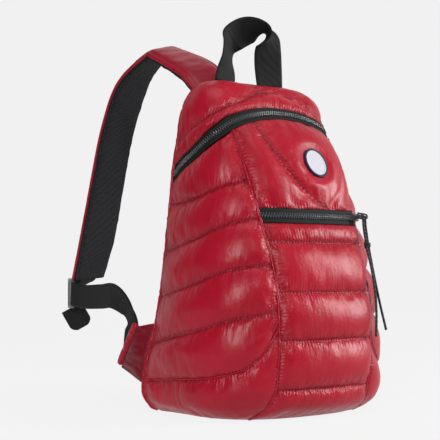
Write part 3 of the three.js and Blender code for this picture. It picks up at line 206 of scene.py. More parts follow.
def outline_table():
    """Plan outline at each level, at equal steps round the half body."""
    height, side, edge, front, rear, strip = read(SECTIONS, np.linspace(0, 1, LEVELS))
    side, edge, strip = side * HALF, edge * HALF, strip * HALF
    front, rear, z = front * BODY_DEPTH, rear * BODY_DEPTH, height * BODY_HEIGHT
    belly = rear - BELLY * (rear - front)
    q = np.linspace(0, 1, TURNS)
    xs, ys = np.zeros((LEVELS, TURNS)), np.zeros((LEVELS, TURNS))
    for k in range(LEVELS):
        x = q / FRONT_SEAM * strip[k]
        arch = (1 - np.minimum(1, (x / side[k]) ** ROUNDNESS)) ** (1 / ROUNDNESS)
        y = belly[k] + (front[k] - belly[k]) * arch
        start = math.asin(min(0.999, (strip[k] / side[k]) ** (ROUNDNESS / 2)))
        a = np.linspace(start, math.pi / 2, 60)
        bend = np.maximum(0, np.cos(a)) ** (2 / ROUNDNESS)
        line = np.stack([side[k] * np.sin(a) ** (2 / ROUNDNESS),
                         belly[k] + (front[k] - belly[k]) * bend], 1)
        t = np.linspace(0, 1, 30)[1:]
        line = np.concatenate([line, np.stack([side[k] + (edge[k] - side[k]) * t * t,
                                               belly[k] + (rear[k] - belly[k]) * t], 1)])
        runs = np.concatenate([[0], np.cumsum(np.hypot(*np.diff(line, axis=0).T))])
        goal = (q - FRONT_SEAM) / (1 - FRONT_SEAM) * runs[-1]
        xs[k] = np.where(q <= FRONT_SEAM, x, np.interp(goal, runs, line[:, 0]))
        ys[k] = np.where(q <= FRONT_SEAM, y, np.interp(goal, runs, line[:, 1]))
    return z, xs, ys, rear, edge


LEVEL_Z, TABLE_X, TABLE_Y, REAR, EDGE = outline_table()


def surf(s, z):
    """Points of the nominal outline at s round the body and height z."""
    s, z = np.broadcast_arrays(np.asarray(s, float), np.asarray(z, float))
    k = np.interp(z, LEVEL_Z, np.arange(LEVELS))
    j = np.clip(np.abs(s), 0, 1) * (TURNS - 1)
    k0 = np.minimum(LEVELS - 2, k.astype(int))
    j0 = np.minimum(TURNS - 2, j.astype(int))
    rise, turn = k - k0, j - j0

    def mix(table):
        return ((table[k0, j0] * (1 - turn) + table[k0, j0 + 1] * turn) * (1 - rise)
                + (table[k0 + 1, j0] * (1 - turn) + table[k0 + 1, j0 + 1] * turn) * rise)

    slack = smooth(0.375, 0.47, s) * (1 - smooth(0.72, 0.95, s))
    slack = slack * smooth(30, 90, z) * (1 - smooth(285, 330, z))
    return np.stack([mix(TABLE_X) * np.sign(s + 1e-12) - RIGHT_SLACK * slack * 0.77,
                     mix(TABLE_Y) + RIGHT_SLACK * slack * 0.64, np.clip(z, 0, BODY_HEIGHT)], -1)


def normal_at(s, z, e=0.012, dz=1.5):
    ds = surf(np.minimum(1, s + e), z) - surf(np.maximum(-1, s - e), z)
    dv = surf(s, np.minimum(BODY_HEIGHT, z + dz)) - surf(s, np.maximum(0, z - dz))
    return unit(np.cross(ds, dv))


def side_share(s):
    return (np.abs(s) - FRONT_SEAM) / (1 - FRONT_SEAM)


def level(shares, place=np.abs):
    """Height of a seam at s, from its list of shares."""
    return lambda s: along(shares, place(s)) * BODY_HEIGHT


zip_height, cap_stitch, side_hem = level(TOP_ZIP), level(CAP_STITCH), level(SIDE_HEM, side_share)
side_stitches = [level(shares, side_share) for shares in SIDE_STITCHES]


def flat(z):
    return lambda s: np.full_like(np.asarray(s, float), z)


def beside(height, distance):
    """Height at a distance along the surface above a seam, square to it."""
    def at(s):
        s = np.asarray(s, float)
        z = height(s)
        lo, hi = np.clip(s - 0.01, -1, 1), np.clip(s + 0.01, -1, 1)
        a, b = surf(lo, height(lo)), surf(hi, height(hi))
        plan = np.hypot(b[..., 0] - a[..., 0], b[..., 1] - a[..., 1])
        slope = (b[..., 2] - a[..., 2]) / np.maximum(0.5, plan)
        up = np.linalg.norm(surf(s, z + 4) - surf(s, z - 4), axis=-1) / 8
        return z + distance * np.sqrt(1 + slope ** 2) / up
    return at


# ---- meshes ----
def mesh_object(name, verts, faces, smooth_faces=True):
    mesh = bpy.data.meshes.new(name)
    mesh.from_pydata([tuple(p) for p in np.asarray(verts, float) * MM], [],
                     [tuple(int(i) for i in f) for f in faces])
    mesh.validate()
    mesh.update()
    if smooth_faces:
        mesh.shade_smooth()
    return new_object(name, mesh)


def grid_faces(rows, cols, loop=False):
    faces = []
    for i in range(rows - 1):
        for j in range(cols if loop else cols - 1):
            k = (j + 1) % cols
            faces.append((i * cols + j, i * cols + k, (i + 1) * cols + k, (i + 1) * cols + j))
    return faces


def tube_faces(rows, cols, start=0):
    """Faces of rings that form a tube, with its two end faces."""
    ends = [tuple(range(cols))[::-1], tuple((rows - 1) * cols + k for k in range(cols))]
    return [tuple(start + k for k in face) for face in grid_faces(rows, cols, True) + ends]


def fan_faces(start, count, tip):
    """Triangles from a ring to a point."""
    return [(start + k, start + (k + 1) % count, tip) for k in range(count)]


@contextmanager
def edited(obj):
    """The mesh of a piece, open for editing."""
    bm = bmesh.new()
    bm.from_mesh(obj.data)
    yield bm
    bm.to_mesh(obj.data)
    bm.free()


def face_outward(obj, cut_ends=False):
    with edited(obj) as bm:
        if cut_ends:
            bmesh.ops.triangulate(bm, faces=[f for f in bm.faces if len(f.verts) > 4])
        bmesh.ops.recalc_face_normals(bm, faces=bm.faces)


def positions(mesh):
    return np.array([tuple(v.co) for v in mesh.vertices])


def points_mm(obj):
    return positions(obj.data) / MM


def apply_modifiers(obj):
    """Replaces the mesh by its evaluated copy and drops the modifiers."""
    graph = bpy.context.evaluated_depsgraph_get()
    mesh = bpy.data.meshes.new_from_object(obj.evaluated_get(graph))
    obj.modifiers.clear()
    obj.data = mesh


def subdivide(obj):
    mod = obj.modifiers.new("subdivision", "SUBSURF")
    mod.levels = mod.render_levels = 1
    mod.boundary_smooth = "PRESERVE_CORNERS"


def thicken(obj, thickness, offset=-1):
    mod = obj.modifiers.new("thickness", "SOLIDIFY")
    mod.thickness = thickness * MM
    mod.offset = offset


def dress(obj, material, nodes=()):
    """Gives a piece its material and body, and hides the CAD parts that it stands for."""
    obj.data.materials.clear()
    obj.data.materials.append(material)
    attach(obj, "root")
    if nodes:
        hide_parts(*nodes)


# ---- materials ----
def colour(value):
    parts = [(value >> shift & 255) / 255 for shift in (16, 8, 0)]
    return [c / 12.92 if c <= 0.04045 else ((c + 0.055) / 1.055) ** 2.4 for c in parts] + [1]


class Shade:
    """A Principled material with its node tree."""

    def __init__(self, name, **sockets):
        self.material = bpy.data.materials.new(name)
        self.material.use_nodes = True
        self.tree = self.material.node_tree
        self.shader = self.tree.nodes["Principled BSDF"]
        self.last_bump = None
        for key, value in sockets.items():
            self.shader.inputs[key.replace("_", " ")].default_value = value
        self.coords = self.tree.nodes.new("ShaderNodeTexCoord").outputs["Object"]

    def add(self, kind, links=(), **values):
        node = self.tree.nodes.new(kind)
        for key, value in values.items():
            if hasattr(node, key):
                setattr(node, key, value)
            else:
                self.socket(node, key.replace("_", " ")).default_value = value
        for key, source in dict(links).items():
            self.tree.links.new(source, self.socket(node, key))
        return node

    @staticmethod
    def socket(node, name):
        """The enabled input with this name: a mix node has one for each data type."""
        return next(s for s in node.inputs if s.name == name and s.enabled)

    def noise(self, scale, detail=3.0, rough=0.5, distortion=0.0, stretch=None):
        vector = self.coords
        if stretch:
            vector = self.add("ShaderNodeMapping", {"Vector": vector}, Scale=stretch).outputs[0]
        node = self.add("ShaderNodeTexNoise", {"Vector": vector}, Scale=scale, Detail=detail,
                        Roughness=rough, Distortion=distortion)
        return node.outputs["Fac"]

    def math(self, operation, a, b=None):
        node = self.tree.nodes.new("ShaderNodeMath")
        node.operation = operation
        for socket, value in zip(node.inputs, (a, b)):
            if isinstance(value, (int, float)):
                socket.default_value = value
            elif value is not None:
                self.tree.links.new(value, socket)
        return node.outputs[0]

    def mix(self, factor, first, second):
        node = self.add("ShaderNodeMix", (), data_type="RGBA", B=second)
        self.tree.links.new(factor, self.socket(node, "Factor"))
        self.tree.links.new(first, self.socket(node, "A"))
        return next(s for s in node.outputs if s.name == "Result" and s.enabled)

    def ramp(self, source, stops):
        node = self.tree.nodes.new("ShaderNodeValToRGB")
        while len(node.color_ramp.elements) < len(stops):
            node.color_ramp.elements.new(0.5)
        for element, (position, value) in zip(node.color_ramp.elements, stops):
            element.position, element.color = position, value
        self.tree.links.new(source, node.inputs["Fac"])
        return node.outputs["Color"]

    def bump(self, source, strength, distance):
        links = {"Height": source}
        if self.last_bump:
            links["Normal"] = self.last_bump
        node = self.add("ShaderNodeBump", links, Strength=strength, Distance=distance)
        self.last_bump = node.outputs["Normal"]
        self.tree.links.new(self.last_bump, self.shader.inputs["Normal"])

    def link(self, source, socket):
        self.tree.links.new(source, self.shader.inputs[socket])

    def tint(self, source, dark, light, low=0.3, high=0.75):
        self.link(self.ramp(source, [(low, colour(dark)), (high, colour(light))]), "Base Color")

    def roughen(self, source, low, high):
        self.link(self.ramp(source, [(0.2, grey(low)), (0.8, grey(high))]), "Roughness")

    def ribs(self, scale, distortion):
        node = self.add("ShaderNodeTexWave", {"Vector": self.coords}, wave_type="BANDS",
                        bands_direction="DIAGONAL", Scale=scale, Distortion=distortion, Detail=1.0)
        return node.outputs["Fac"]


def grey(value):
    return [value, value, value, 1]


def nylon(name, light, dark, rough=0.30, coat=0.05, seams=False):
    """Glossy coated cloth. With seams, puckers follow the panel's seams, and the colour darkens along
    each seam: painted shade of the seam's groove, together with the thread's darker red.
    """
    shade = Shade(name, Coat_Weight=coat, Coat_Roughness=0.2, IOR=1.27)
    base = shade.ramp(shade.noise(14, 4, 0.6), [(0.3, colour(dark)), (0.7, colour(light))])
    if seams:
        place = shade.tree.nodes.new("ShaderNodeTexCoord").outputs["UV"]
        split = shade.add("ShaderNodeSeparateXYZ", {"Vector": place})
        fade = shade.math("EXPONENT", shade.math("MULTIPLY", split.outputs["Y"], -1 / 0.0036))
        # Painted shade: the colour darkens towards each seam line, standing in for the shade in the
        # groove and for the darker thread.
        line = shade.math("EXPONENT", shade.math("MULTIPLY", split.outputs["Y"], -1 / 0.0011))
        drift = shade.math("MULTIPLY", shade.noise(160, 2), 9.0)
        turns = shade.math("MULTIPLY", split.outputs["X"], 6.283 / 0.0034)
        wave = shade.math("SINE", shade.math("ADD", turns, drift))
        base = shade.mix(shade.math("MULTIPLY", line, 0.55), base, colour(0x4A0512))
        shade.bump(shade.math("MULTIPLY", wave, fade), 0.55, 0.0007)
    shade.link(base, "Base Color")
    shade.roughen(shade.noise(60, 3, 0.6), rough - 0.05, rough + 0.09)
    shade.bump(shade.noise(70, 5, 0.62, 0.7), 0.22, 0.0018)
    shade.bump(shade.noise(1.0, 3, 0.6, 0.3, (330.0, 330.0, 75.0)), 0.35, 0.0008)
    shade.bump(shade.noise(240, 4, 0.6, 0.5), 0.3, 0.0005)
    shade.bump(shade.noise(2600, 1, 0.5), 0.10, 0.0001)
    return shade.material


def woven(name, light, dark, rough=0.75, rib=520.0):
    """Webbing and tapes: slanted ribs crossed by a finer weave."""
    shade = Shade(name, Specular_IOR_Level=0.2)
    ribs = shade.ribs(rib / 6.28, 0.4)
    fine = shade.noise(1500, 2, 0.6)
    shade.tint(fine, dark, light)
    shade.roughen(fine, rough - 0.1, rough + 0.12)
    shade.bump(ribs, 0.5, 0.0003)
    shade.bump(fine, 0.35, 0.0002)
    return shade.material


def air_mesh(name, light, dark):
    """Spacer mesh: small round holes in a soft knit."""
    shade = Shade(name, Roughness=0.9, Specular_IOR_Level=0.25)
    cells = shade.add("ShaderNodeTexVoronoi", {"Vector": shade.coords}, feature="F1",
                      Scale=430.0, Randomness=0.25)
    holes = cells.outputs["Distance"]
    shade.tint(holes, dark, light, 0.28, 0.5)
    shade.bump(holes, 0.9, 0.0009)
    shade.bump(shade.noise(1700, 2, 0.6), 0.3, 0.0002)
    return shade.material


def plastic(name, value, rough):
    """Moulded plastic or dull metal."""
    shade = Shade(name, Specular_IOR_Level=0.5)
    fine = shade.noise(900, 3, 0.6)
    shade.tint(shade.noise(80, 3, 0.6), value, value + 0x060606)
    shade.roughen(fine, rough - 0.05, rough + 0.1)
    shade.bump(fine, 0.12, 0.0001)
    return shade.material


def braid(name, light, dark):
    """Braided cord."""
    shade = Shade(name, Specular_IOR_Level=0.35)
    plait = shade.ribs(110.0, 2.0)
    shade.tint(plait, dark, light, 0.2, 0.8)
    shade.roughen(plait, 0.75, 0.55)
    shade.bump(plait, 0.8, 0.0004)
    return shade.material


RED = nylon("red_nylon", 0x910E24, 0x820A1D)
QUILT_RED = nylon("quilted_red_nylon", 0x930D22, 0x840A1B, 0.35, seams=True)
STRAP_RED = nylon("strap_red_nylon", 0x840D22, 0x74091A, 0.34, 0.05)
DARK_RED = nylon("dark_red_nylon", 0x680A1B, 0x580614, 0.42, 0.02)
WEBBING = woven("black_webbing", 0x151517, 0x09090A)
TAPE = woven("zip_tape_weave", 0x111514, 0x070908, 0.75, 900.0)
MESH = air_mesh("black_air_mesh", 0x17171A, 0x030304)
BACK_MESH = air_mesh("back_air_mesh", 0x1B1B1F, 0x040405)
# Zip teeth: black plastic painted a lighter grey, as a painted glint on the teeth.
TOOTH_PAINTED_GLINT = plastic("zip_tooth_plastic_painted_glint", 0x3E4144, 0.26)
HARDWARE = plastic("hardware_plastic", 0x1E2022, 0.36)
# Ladder locks: the same black plastic painted lighter, as a painted highlight on their glossy faces.
LOCK_PAINTED_HIGHLIGHT = plastic("lock_plastic_painted_highlight", 0x4A4D51, 0.30)
CORD_BRAID = braid("cord_braid", 0x242528, 0x0E0F10)
# Quilting thread: its darker red is partly the thread's own colour and partly painted shade of the seam
# line.
SEAM_SHADE_THREAD = braid("red_thread", 0x7E0C20, 0x4C0510)
EDGE_THREAD = braid("bright_red_thread", 0xC83048, 0x9C1428)
BADGE_CLOTH = woven("badge_cloth", 0xB4B3BC, 0xA3A2AC, 0.6, 1400.0)
BADGE_BORDER = woven("badge_border", 0x20273F, 0x11162B, 0.6, 900.0)


# ---- quilted panels ----
GRIDS = {}      # columns of each panel's grid and the distance of its points from a seam
CALM, CALM_ELSE = {"front_lower_quilt": 0.95, "front_upper_quilt": 0.5, "top_quilt": 0.5}, 0.55
FAR = 60.0      # stands for any place well away from a seam
LOWEST = 0.2    # no point of a panel lies lower
CLOTH = {"quality": 6, "mass": 0.15, "tension_stiffness": 12, "compression_stiffness": 12,
         "shear_stiffness": 4, "bending_stiffness": 0.2, "tension_damping": 12,
         "compression_damping": 12, "shear_damping": 8, "air_damping": 3, "vertex_group_mass": "seams",
         "use_pressure": True, "uniform_pressure_force": 1.2, "shrink_min": -0.02}
FRAMES, SWELL_LIMIT = 14, 2.2


def pucker(run, near, seed, size=1.0):
    """Small folds that run away from a seam: run is along it and near the distance from it."""
    short = np.exp(-near / 7.0) * (1 - np.exp(-near / 1.6))
    fine = ripple(run / 3.6, near / 24.0, seed) + 0.6 * ripple(run / 2.1, near / 15.0, seed + 1)
    drag = np.exp(-near / 20.0) * (1 - np.exp(-near / 4.0))
    drag = drag * ripple((run + 0.4 * near) / 6.5, near / 70.0, seed + 2)
    return size * (short * fine + 0.25 * drag)


def corner_vertices(mesh):
    corners = np.zeros(len(mesh.loops), int)
    mesh.loops.foreach_get("vertex_index", corners)
    return corners


def set_uv(mesh, values):
    """Run along the nearest seam and distance from it, in metres, as a UV map."""
    layer = mesh.uv_layers.new(name="seam")
    layer.data.foreach_set("uv", (values[corner_vertices(mesh)] * MM).ravel())


def sew(obj, pins):
    """Marks the vertices that the seams hold."""
    obj.vertex_groups.new(name="seams").add(pins, 1.0, "REPLACE")


def rim_share(s, z):
    """1 on the open wall, down to 0 at the rear edge and at the base."""
    return (1 - smooth(0.95, 1, np.abs(s))) * smooth(0, 0.045 * BODY_HEIGHT, z)


def quilt(name, seams, spacing, columns, edges, seed, split=None):
    """A panel between seams. columns(r) gives the s of each column for a row share r, and
    edges(s, r) how full it is there."""
    heights = []
    probe = columns(0.5)
    for k in range(len(seams) - 1):
        gap = float(np.max(seams[k + 1](probe) - seams[k](probe)))
        count = max(3, int(math.ceil(gap / spacing)))
        for i in range(0 if k == 0 else 1, count + 1):
            u = i / count
            heights.append((k, 0.5 * u + 0.25 * (1 - math.cos(math.pi * u))))
    total = len(heights)
    points, pins, seam_uv = [], [], []
    for index, (k, t) in enumerate(heights):
        r = index / (total - 1)
        s = columns(r)
        low = seams[k](s)
        height = seams[k + 1](s) - low
        z = low + height * t
        full = np.minimum(1, height / FULL_CHANNEL) ** 0.7
        inner = np.clip(edges(s, r), 0, 1)
        bow = np.sin(math.pi * t) ** 0.52 * np.sqrt(inner) if 0 < t < 1 else np.zeros_like(s)
        lift = -SEAM_SINK + (SEAM_SINK + QUILT_LOFT * full) * bow
        run = distances(surf(s, z))
        near_low, near_high = t * height, (1 - t) * height
        side = np.minimum(run, run[-1] - run)
        if split is not None:
            side = np.minimum(side, np.abs(run - np.interp(split(r), s, run)))
        near = np.minimum(near_low, near_high)
        seam_uv.append(np.stack([np.where(side < near, z, run), np.minimum(side, near)], 1))
        lift += pucker(run, near_low, seed + 7 * k) + pucker(run, near_high, seed + 7 * k + 7)
        lift += pucker(z, side, seed + 3, 0.9)
        lift += 0.6 * ripple(run / 38, z / 21, seed + 5) * bow
        rim = rim_share(s, z) * (1 - smooth(0.975, 1, z / BODY_HEIGHT))
        p = surf(s, z) + normal_at(s, z) * (lift * rim)[:, None]
        p[:, 2] = np.maximum(p[:, 2], LOWEST)
        points.append(p)
        for j in range(len(s)):
            on_split = split is not None and abs(s[j] - split(r)) < 1e-6
            if t <= 0 or t >= 1 or j in (0, len(s) - 1) or on_split:
                pins.append(index * len(s) + j)
    rows, cols = len(points), len(points[0])
    obj = mesh_object(name, np.concatenate(points), grid_faces(rows, cols))
    seam_uv = np.concatenate(seam_uv)
    set_uv(obj.data, seam_uv)
    sew(obj, pins)
    GRIDS[name] = (cols, seam_uv[:, 1])
    return obj


def calm(move, cols, near, share):
    """Evens out the folds of the cloth away from the seams, as stuffed channels are taut there."""
    even = move.reshape(-1, cols, 3)
    near = np.append(near, np.full(len(move) - len(near), FAR))
    for _ in range(10):
        even = np.concatenate([even[:1], (even[:-2] + 2 * even[1:-1] + even[2:]) / 4, even[-1:]])
        even = np.concatenate([even[:, :1], (even[:, :-2] + 2 * even[:, 1:-1] + even[:, 2:]) / 4,
                               even[:, -1:]], axis=1)
    weight = (share * smooth(3, 12, near))[:, None]
    return move * (1 - weight) + even.reshape(-1, 3) * weight


def fill_with_air(objects):
    """Cloth simulation: the channels between the sewn seams swell and buckle."""
    scene = bpy.context.scene
    before = {}
    for obj in objects:
        before[obj.name] = positions(obj.data)
        mod = obj.modifiers.new("cloth", "CLOTH")
        for key, value in CLOTH.items():
            setattr(mod.settings, key, value)
        mod.settings.effector_weights.gravity = 0
        mod.collision_settings.use_collision = False
        mod.point_cache.frame_start = 1
        mod.point_cache.frame_end = FRAMES
    for step in range(1, FRAMES + 1):
        scene.frame_set(step)
    for obj in objects:
        done = obj.evaluated_get(bpy.context.evaluated_depsgraph_get())
        move = positions(done.to_mesh()) - before[obj.name]
        done.to_mesh_clear()
        size = np.linalg.norm(move, axis=1, keepdims=True)
        limit = SWELL_LIMIT * MM
        move = move * np.where(size > limit, limit / np.maximum(size, 1e-9), 1)
        obj.modifiers.clear()
        move = calm(np.nan_to_num(move), *GRIDS[obj.name], CALM.get(obj.name, CALM_ELSE))
        final = before[obj.name] + move
        final[:, 2] = np.maximum(final[:, 2], LOWEST * MM)
        obj.data.vertices.foreach_set("co", final.ravel())
        obj.data.update()
    scene.frame_set(1)


def ease(s, low, high, soft=0.09):
    """How full a panel is between its side edges, from 0 at each edge to 1."""
    a = np.clip((s - low) / soft, 0, 1)
    b = np.clip((high - s) / soft, 0, 1)
    return np.sin(a * math.pi / 2) * np.sin(b * math.pi / 2)


SPACING, FINE_SPACING = 3.0, 2.8      # rows of the panels' grids
FRONT_EDGE, SIDE_FIRST, SIDE_LAST = FRONT_SEAM - 0.0004, FRONT_SEAM + 0.0004, 0.9985


def side_columns(way):
    values = way * np.linspace(SIDE_FIRST, SIDE_LAST, 66)
    return lambda r: values if way > 0 else values[::-1]


def diagonal(r):
    z = POCKET_ZIP + (float(zip_height(0.2)) - POCKET_ZIP) * r
    strip = float(np.interp(z, LEVEL_Z, TABLE_X[:, int(FRONT_SEAM * (TURNS - 1))]))
    return float(along(DIAGONAL, r)) * HALF * FRONT_SEAM / strip


def upper_columns(r):
    middle = diagonal(r)
    left = np.linspace(-FRONT_EDGE, middle, 20)
    return np.concatenate([left, np.linspace(middle, FRONT_EDGE, 29)[1:]])


def upper_ease(s, r):
    middle = diagonal(r)
    return np.where(s < middle, ease(s, -FRONT_SEAM, middle, 0.1), ease(s, middle, FRONT_SEAM, 0.1))


def zip_side(height, way):
    return beside(height, way * (ZIP_WIDTH / 2 + 0.3))


def side_ease(s, r):
    return ease(np.abs(s), FRONT_SEAM, 1, 0.1)


def top_columns(r):
    return np.linspace(-SIDE_LAST, SIDE_LAST, 150)


front_lower = quilt("front_lower_quilt",
                    [flat(0.3), *[flat(share * POCKET_ZIP) for share in FRONT_STITCHES],
                     zip_side(flat(POCKET_ZIP), -1)],
                    SPACING, lambda r: np.linspace(-FRONT_EDGE, FRONT_EDGE, 48),
                    lambda s, r: ease(s, -FRONT_SEAM, FRONT_SEAM), 11)
front_upper = quilt("front_upper_quilt", [zip_side(flat(POCKET_ZIP), 1), zip_side(zip_height, -1)],
                    FINE_SPACING, upper_columns, upper_ease, 23, split=diagonal)
quilts = [front_lower, front_upper]
for side, way in WAYS.items():
    quilts.append(quilt(f"side_quilt_{side}",
                        [side_hem, *side_stitches, zip_side(zip_height, -1)],
                        SPACING, side_columns(way), side_ease, 40 + way))
    quilts.append(quilt(f"lower_side_quilt_{side}", [flat(0.3), side_hem],
                        SPACING, side_columns(way), side_ease, 60 + way))
top = quilt("top_quilt", [zip_side(zip_height, 1), cap_stitch, flat(BODY_HEIGHT - 0.2)],
            SPACING, top_columns, lambda s, r: np.ones_like(s), 83)
quilts.append(top)


def add_roof(obj, columns):
    """Closes the top behind the ridge, up to the back panel."""
    s = columns(1)
    mesh = obj.data
    coords = points_mm(obj)
    count = len(s)
    start = coords[-count:]
    end = np.stack([s * EDGE[-1], np.full(count, REAR[-1] - 0.25), np.full(count, BODY_HEIGHT)], 1)
    new = np.concatenate([coords] + [start + (end - start) * t for t in (0.34, 0.67, 1.0)])
    group_pins = [v.index for v in mesh.vertices if v.groups]
    faces = [tuple(p.vertices) for p in mesh.polygons]
    base = len(coords) - count
    faces += [tuple(base + i for i in f) for f in grid_faces(4, count)]
    replacement = bpy.data.meshes.new(obj.name)
    replacement.from_pydata([tuple(p) for p in new * MM], [], faces)
    replacement.update()
    replacement.shade_smooth()
    old = np.zeros(len(mesh.loops) * 2)
    mesh.uv_layers["seam"].data.foreach_get("uv", old)
    values = np.tile([0.0, FAR], (len(new), 1))
    values[corner_vertices(mesh)] = old.reshape(-1, 2) / MM
    set_uv(replacement, values)
    obj.data = replacement
    obj.vertex_groups.clear()
    sew(obj, group_pins + list(range(len(coords), len(new))))


add_roof(top, top_columns)

fill_with_air(quilts)

# The badge's own frame, from its CAD node, and its half width and height.
BADGE_NODE, BADGE_HALF = points_mm(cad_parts["badge"]), (15, 17)
BADGE_CENTRE = (BADGE_NODE.max(0) + BADGE_NODE.min(0)) / 2
BADGE_OUT = np.linalg.svd(BADGE_NODE - BADGE_NODE.mean(0))[2][2]
BADGE_OUT = BADGE_OUT * (-1 if BADGE_OUT[1] > 0 else 1)
BADGE_RIGHT = unit(np.cross(np.array([0, 0, 1.0]), -BADGE_OUT))
BADGE_UP = np.cross(BADGE_OUT, BADGE_RIGHT)
BADGE_UP = BADGE_UP * (1 if BADGE_UP[2] > 0 else -1)
CREASE = np.array([[25.5, 214], [35.5, 224], [43, 232], [48, 243], [50.5, 252], [53, 260]])


def settle_front(obj):
    """Presses the upper front flat below the badge and along the crease beside it."""
    p = points_mm(obj)
    fine = np.stack([np.interp(np.linspace(0, 5, 60), range(6), CREASE[:, k]) for k in (0, 1)], 1)
    gap = np.sqrt(((p[:, None, [0, 2]] - fine[None]) ** 2).sum(2)).min(1)
    p += np.outer(2.2 * np.exp(-(gap / 2.6) ** 2), [0, 1, 0])
    d = p - BADGE_CENTRE
    x, y, z = d @ BADGE_RIGHT, d @ BADGE_UP, d @ BADGE_OUT
    share = 1 - smooth(1.08, 1.7, np.hypot(x / BADGE_HALF[0], y / BADGE_HALF[1]))
    p += np.outer((np.minimum(z, -1.15) - z) * share, BADGE_OUT)
    obj.data.vertices.foreach_set("co", (p * MM).ravel())
    obj.data.update()


settle_front(front_upper)
for panel in quilts:
    subdivide(panel)
    thicken(panel, 2.6)
    apply_modifiers(panel)
    dress(panel, QUILT_RED, [panel.name.replace("_quilt", "_panel")])


# ---- piping and thread along the seams ----
THREAD_LIFT = 0.35 - SEAM_SINK


def on_seam(s, z, lift):
    return surf(s, z) + normal_at(s, z) * (lift * rim_share(s, z))[:, None]


def seam_line(height, low, high, lift, count=160):
    s = np.linspace(low, high, count)
    return on_seam(s, height(s), lift)


def build_seams():
    threads = [seam_line(flat(share * POCKET_ZIP), -FRONT_EDGE, FRONT_EDGE, THREAD_LIFT, 60)
               for share in FRONT_STITCHES]
    for way in WAYS.values():
        ends = (way * SIDE_FIRST, way * SIDE_LAST)
        threads += [seam_line(height, *ends, THREAD_LIFT) for height in side_stitches]
    threads.append(seam_line(cap_stitch, -SIDE_LAST, SIDE_LAST, THREAD_LIFT))
    r = np.linspace(0.02, 0.98, 80)
    s = np.array([diagonal(v) for v in r])
    z = POCKET_ZIP + ZIP_WIDTH / 2 + (zip_height(s) - ZIP_WIDTH - POCKET_ZIP) * r
    threads.append(surf(s, z) + normal_at(s, z) * THREAD_LIFT)
    stitches("quilting_thread", threads, SEAM_SHADE_THREAD, 3.4, 0.32)
    for side, way in WAYS.items():
        edge_z = np.linspace(2.0, BODY_HEIGHT - 1.5, 260)
        edge = surf(np.full(260, float(way)), edge_z) + np.array([-0.9 * way, 0.1, 0])
        tube_mesh(f"back_binding_{side}", edge, 1.9, RED, 10, 27 + way)
        top_end = float(zip_height(FRONT_SEAM)) - ZIP_WIDTH / 2 - 1
        line = on_seam(np.full(220, way * FRONT_SEAM), np.linspace(1.5, top_end, 220), 0.3 - SEAM_SINK)
        tube_mesh(f"front_piping_{side}", line, 1.5, RED, 10, 7 + way)
        hem = seam_line(side_hem, way * SIDE_FIRST, way * SIDE_LAST, 0.1 - SEAM_SINK, 160)
        tube_mesh(f"hem_piping_{side}", hem, 1.0, RED, 8, 17 + way)


# ---- back and base ----
def build_back():
    rows, cols = 90, 60
    z = np.linspace(0.4, BODY_HEIGHT - 0.4, rows)
    a = np.linspace(-1, 1, cols)
    points = []
    for height in z:
        rear = float(np.interp(height, LEVEL_Z, REAR))
        edge = float(np.interp(height, LEVEL_Z, EDGE)) - 0.3
        v = height / BODY_HEIGHT
        loft = BACK_LOFT * float(smooth(0.02, 0.1, v)) * (1 - float(smooth(0.85, 0.97, v)))
        waves = 0.5 * ripple(a * edge / 30, height / 26, 5) * (loft / BACK_LOFT)
        y = rear + loft * (1 - a ** 4) + waves
        points.append(np.stack([a * edge, y, np.full(cols, height)], 1))
    obj = mesh_object("back_mesh_panel", np.concatenate(points), grid_faces(rows, cols)[::-1])
    with edited(obj) as bm:
        for face in bm.faces:
            if face.normal.y < 0:
                face.normal_flip()
    thicken(obj, 3.0)
    apply_modifiers(obj)
    dress(obj, BACK_MESH, ["back_panel"])


build_back()


def build_base():
    s = np.linspace(-0.998, 0.998, 150)
    ring = surf(s, 0.0)
    ring = np.concatenate([ring, np.linspace(ring[-1], ring[0], 30)[1:-1]])
    middle = np.array([0, 5.0, 0])
    ring = ring + (middle - ring) * 0.006
    rows = []
    for share in (1.0, 0.985, 0.96, 0.88, 0.75, 0.6, 0.45, 0.3, 0.15):
        row = middle + (ring - middle) * share
        wave = 0.5 + 0.5 * ripple(row[:, 0] / 17, row[:, 1] / 13, 301)
        row[:, 2] = 0.2 + (0.9 * wave + 0.5) * min(1, (1 - share) / 0.1)
        rows.append(row)
    n = len(ring)
    faces = grid_faces(len(rows), n, True)
    verts = np.concatenate(rows + [middle[None] + [[0, 0, 1.2]]])
    faces += fan_faces((len(rows) - 1) * n, n, len(verts) - 1)
    obj = mesh_object("base_cloth", verts, faces)
    with edited(obj) as bm:
        bmesh.ops.recalc_face_normals(bm, faces=bm.faces)
        if sum(f.normal.z for f in bm.faces) > 0:
            bmesh.ops.reverse_faces(bm, faces=bm.faces)
    thicken(obj, 2.6)
    apply_modifiers(obj)
    dress(obj, DARK_RED, ["base_panel"])


build_base()


# ---- zips ----
def zip_line(height, low, high, step):
    """s values spaced evenly by length along a zip, with points and frames."""
    s = np.linspace(low, high, 900)
    p = surf(s, height(s))
    runs = distances(p)
    count = max(2, int(runs[-1] / step))
    goal = np.linspace(0, runs[-1], count)
    s = np.interp(goal, runs, s)
    p = surf(s, height(s))
    tangent = unit(np.gradient(p, axis=0))
    normal = normal_at(s, height(s))
    normal = unit(normal - tangent * np.sum(normal * tangent, 1, keepdims=True))
    return s, p, tangent, normal, np.cross(normal, tangent)


# One tooth: its stations across the tape as reach, width and rise, and its profile along the zip.
TOOTH_PITCH = 1.45
TOOTH_STATIONS = ((-0.5, 0.7, 0.75), (0.5, 0.85, 1.0), (1.7, 1.0, 1.45), (2.7, 0.9, 1.0))
TOOTH_PROFILE = ((-0.62, 0.0), (-0.62, 0.9), (-0.3, 1.3), (0.3, 1.3), (0.62, 0.9), (0.62, 0.0))


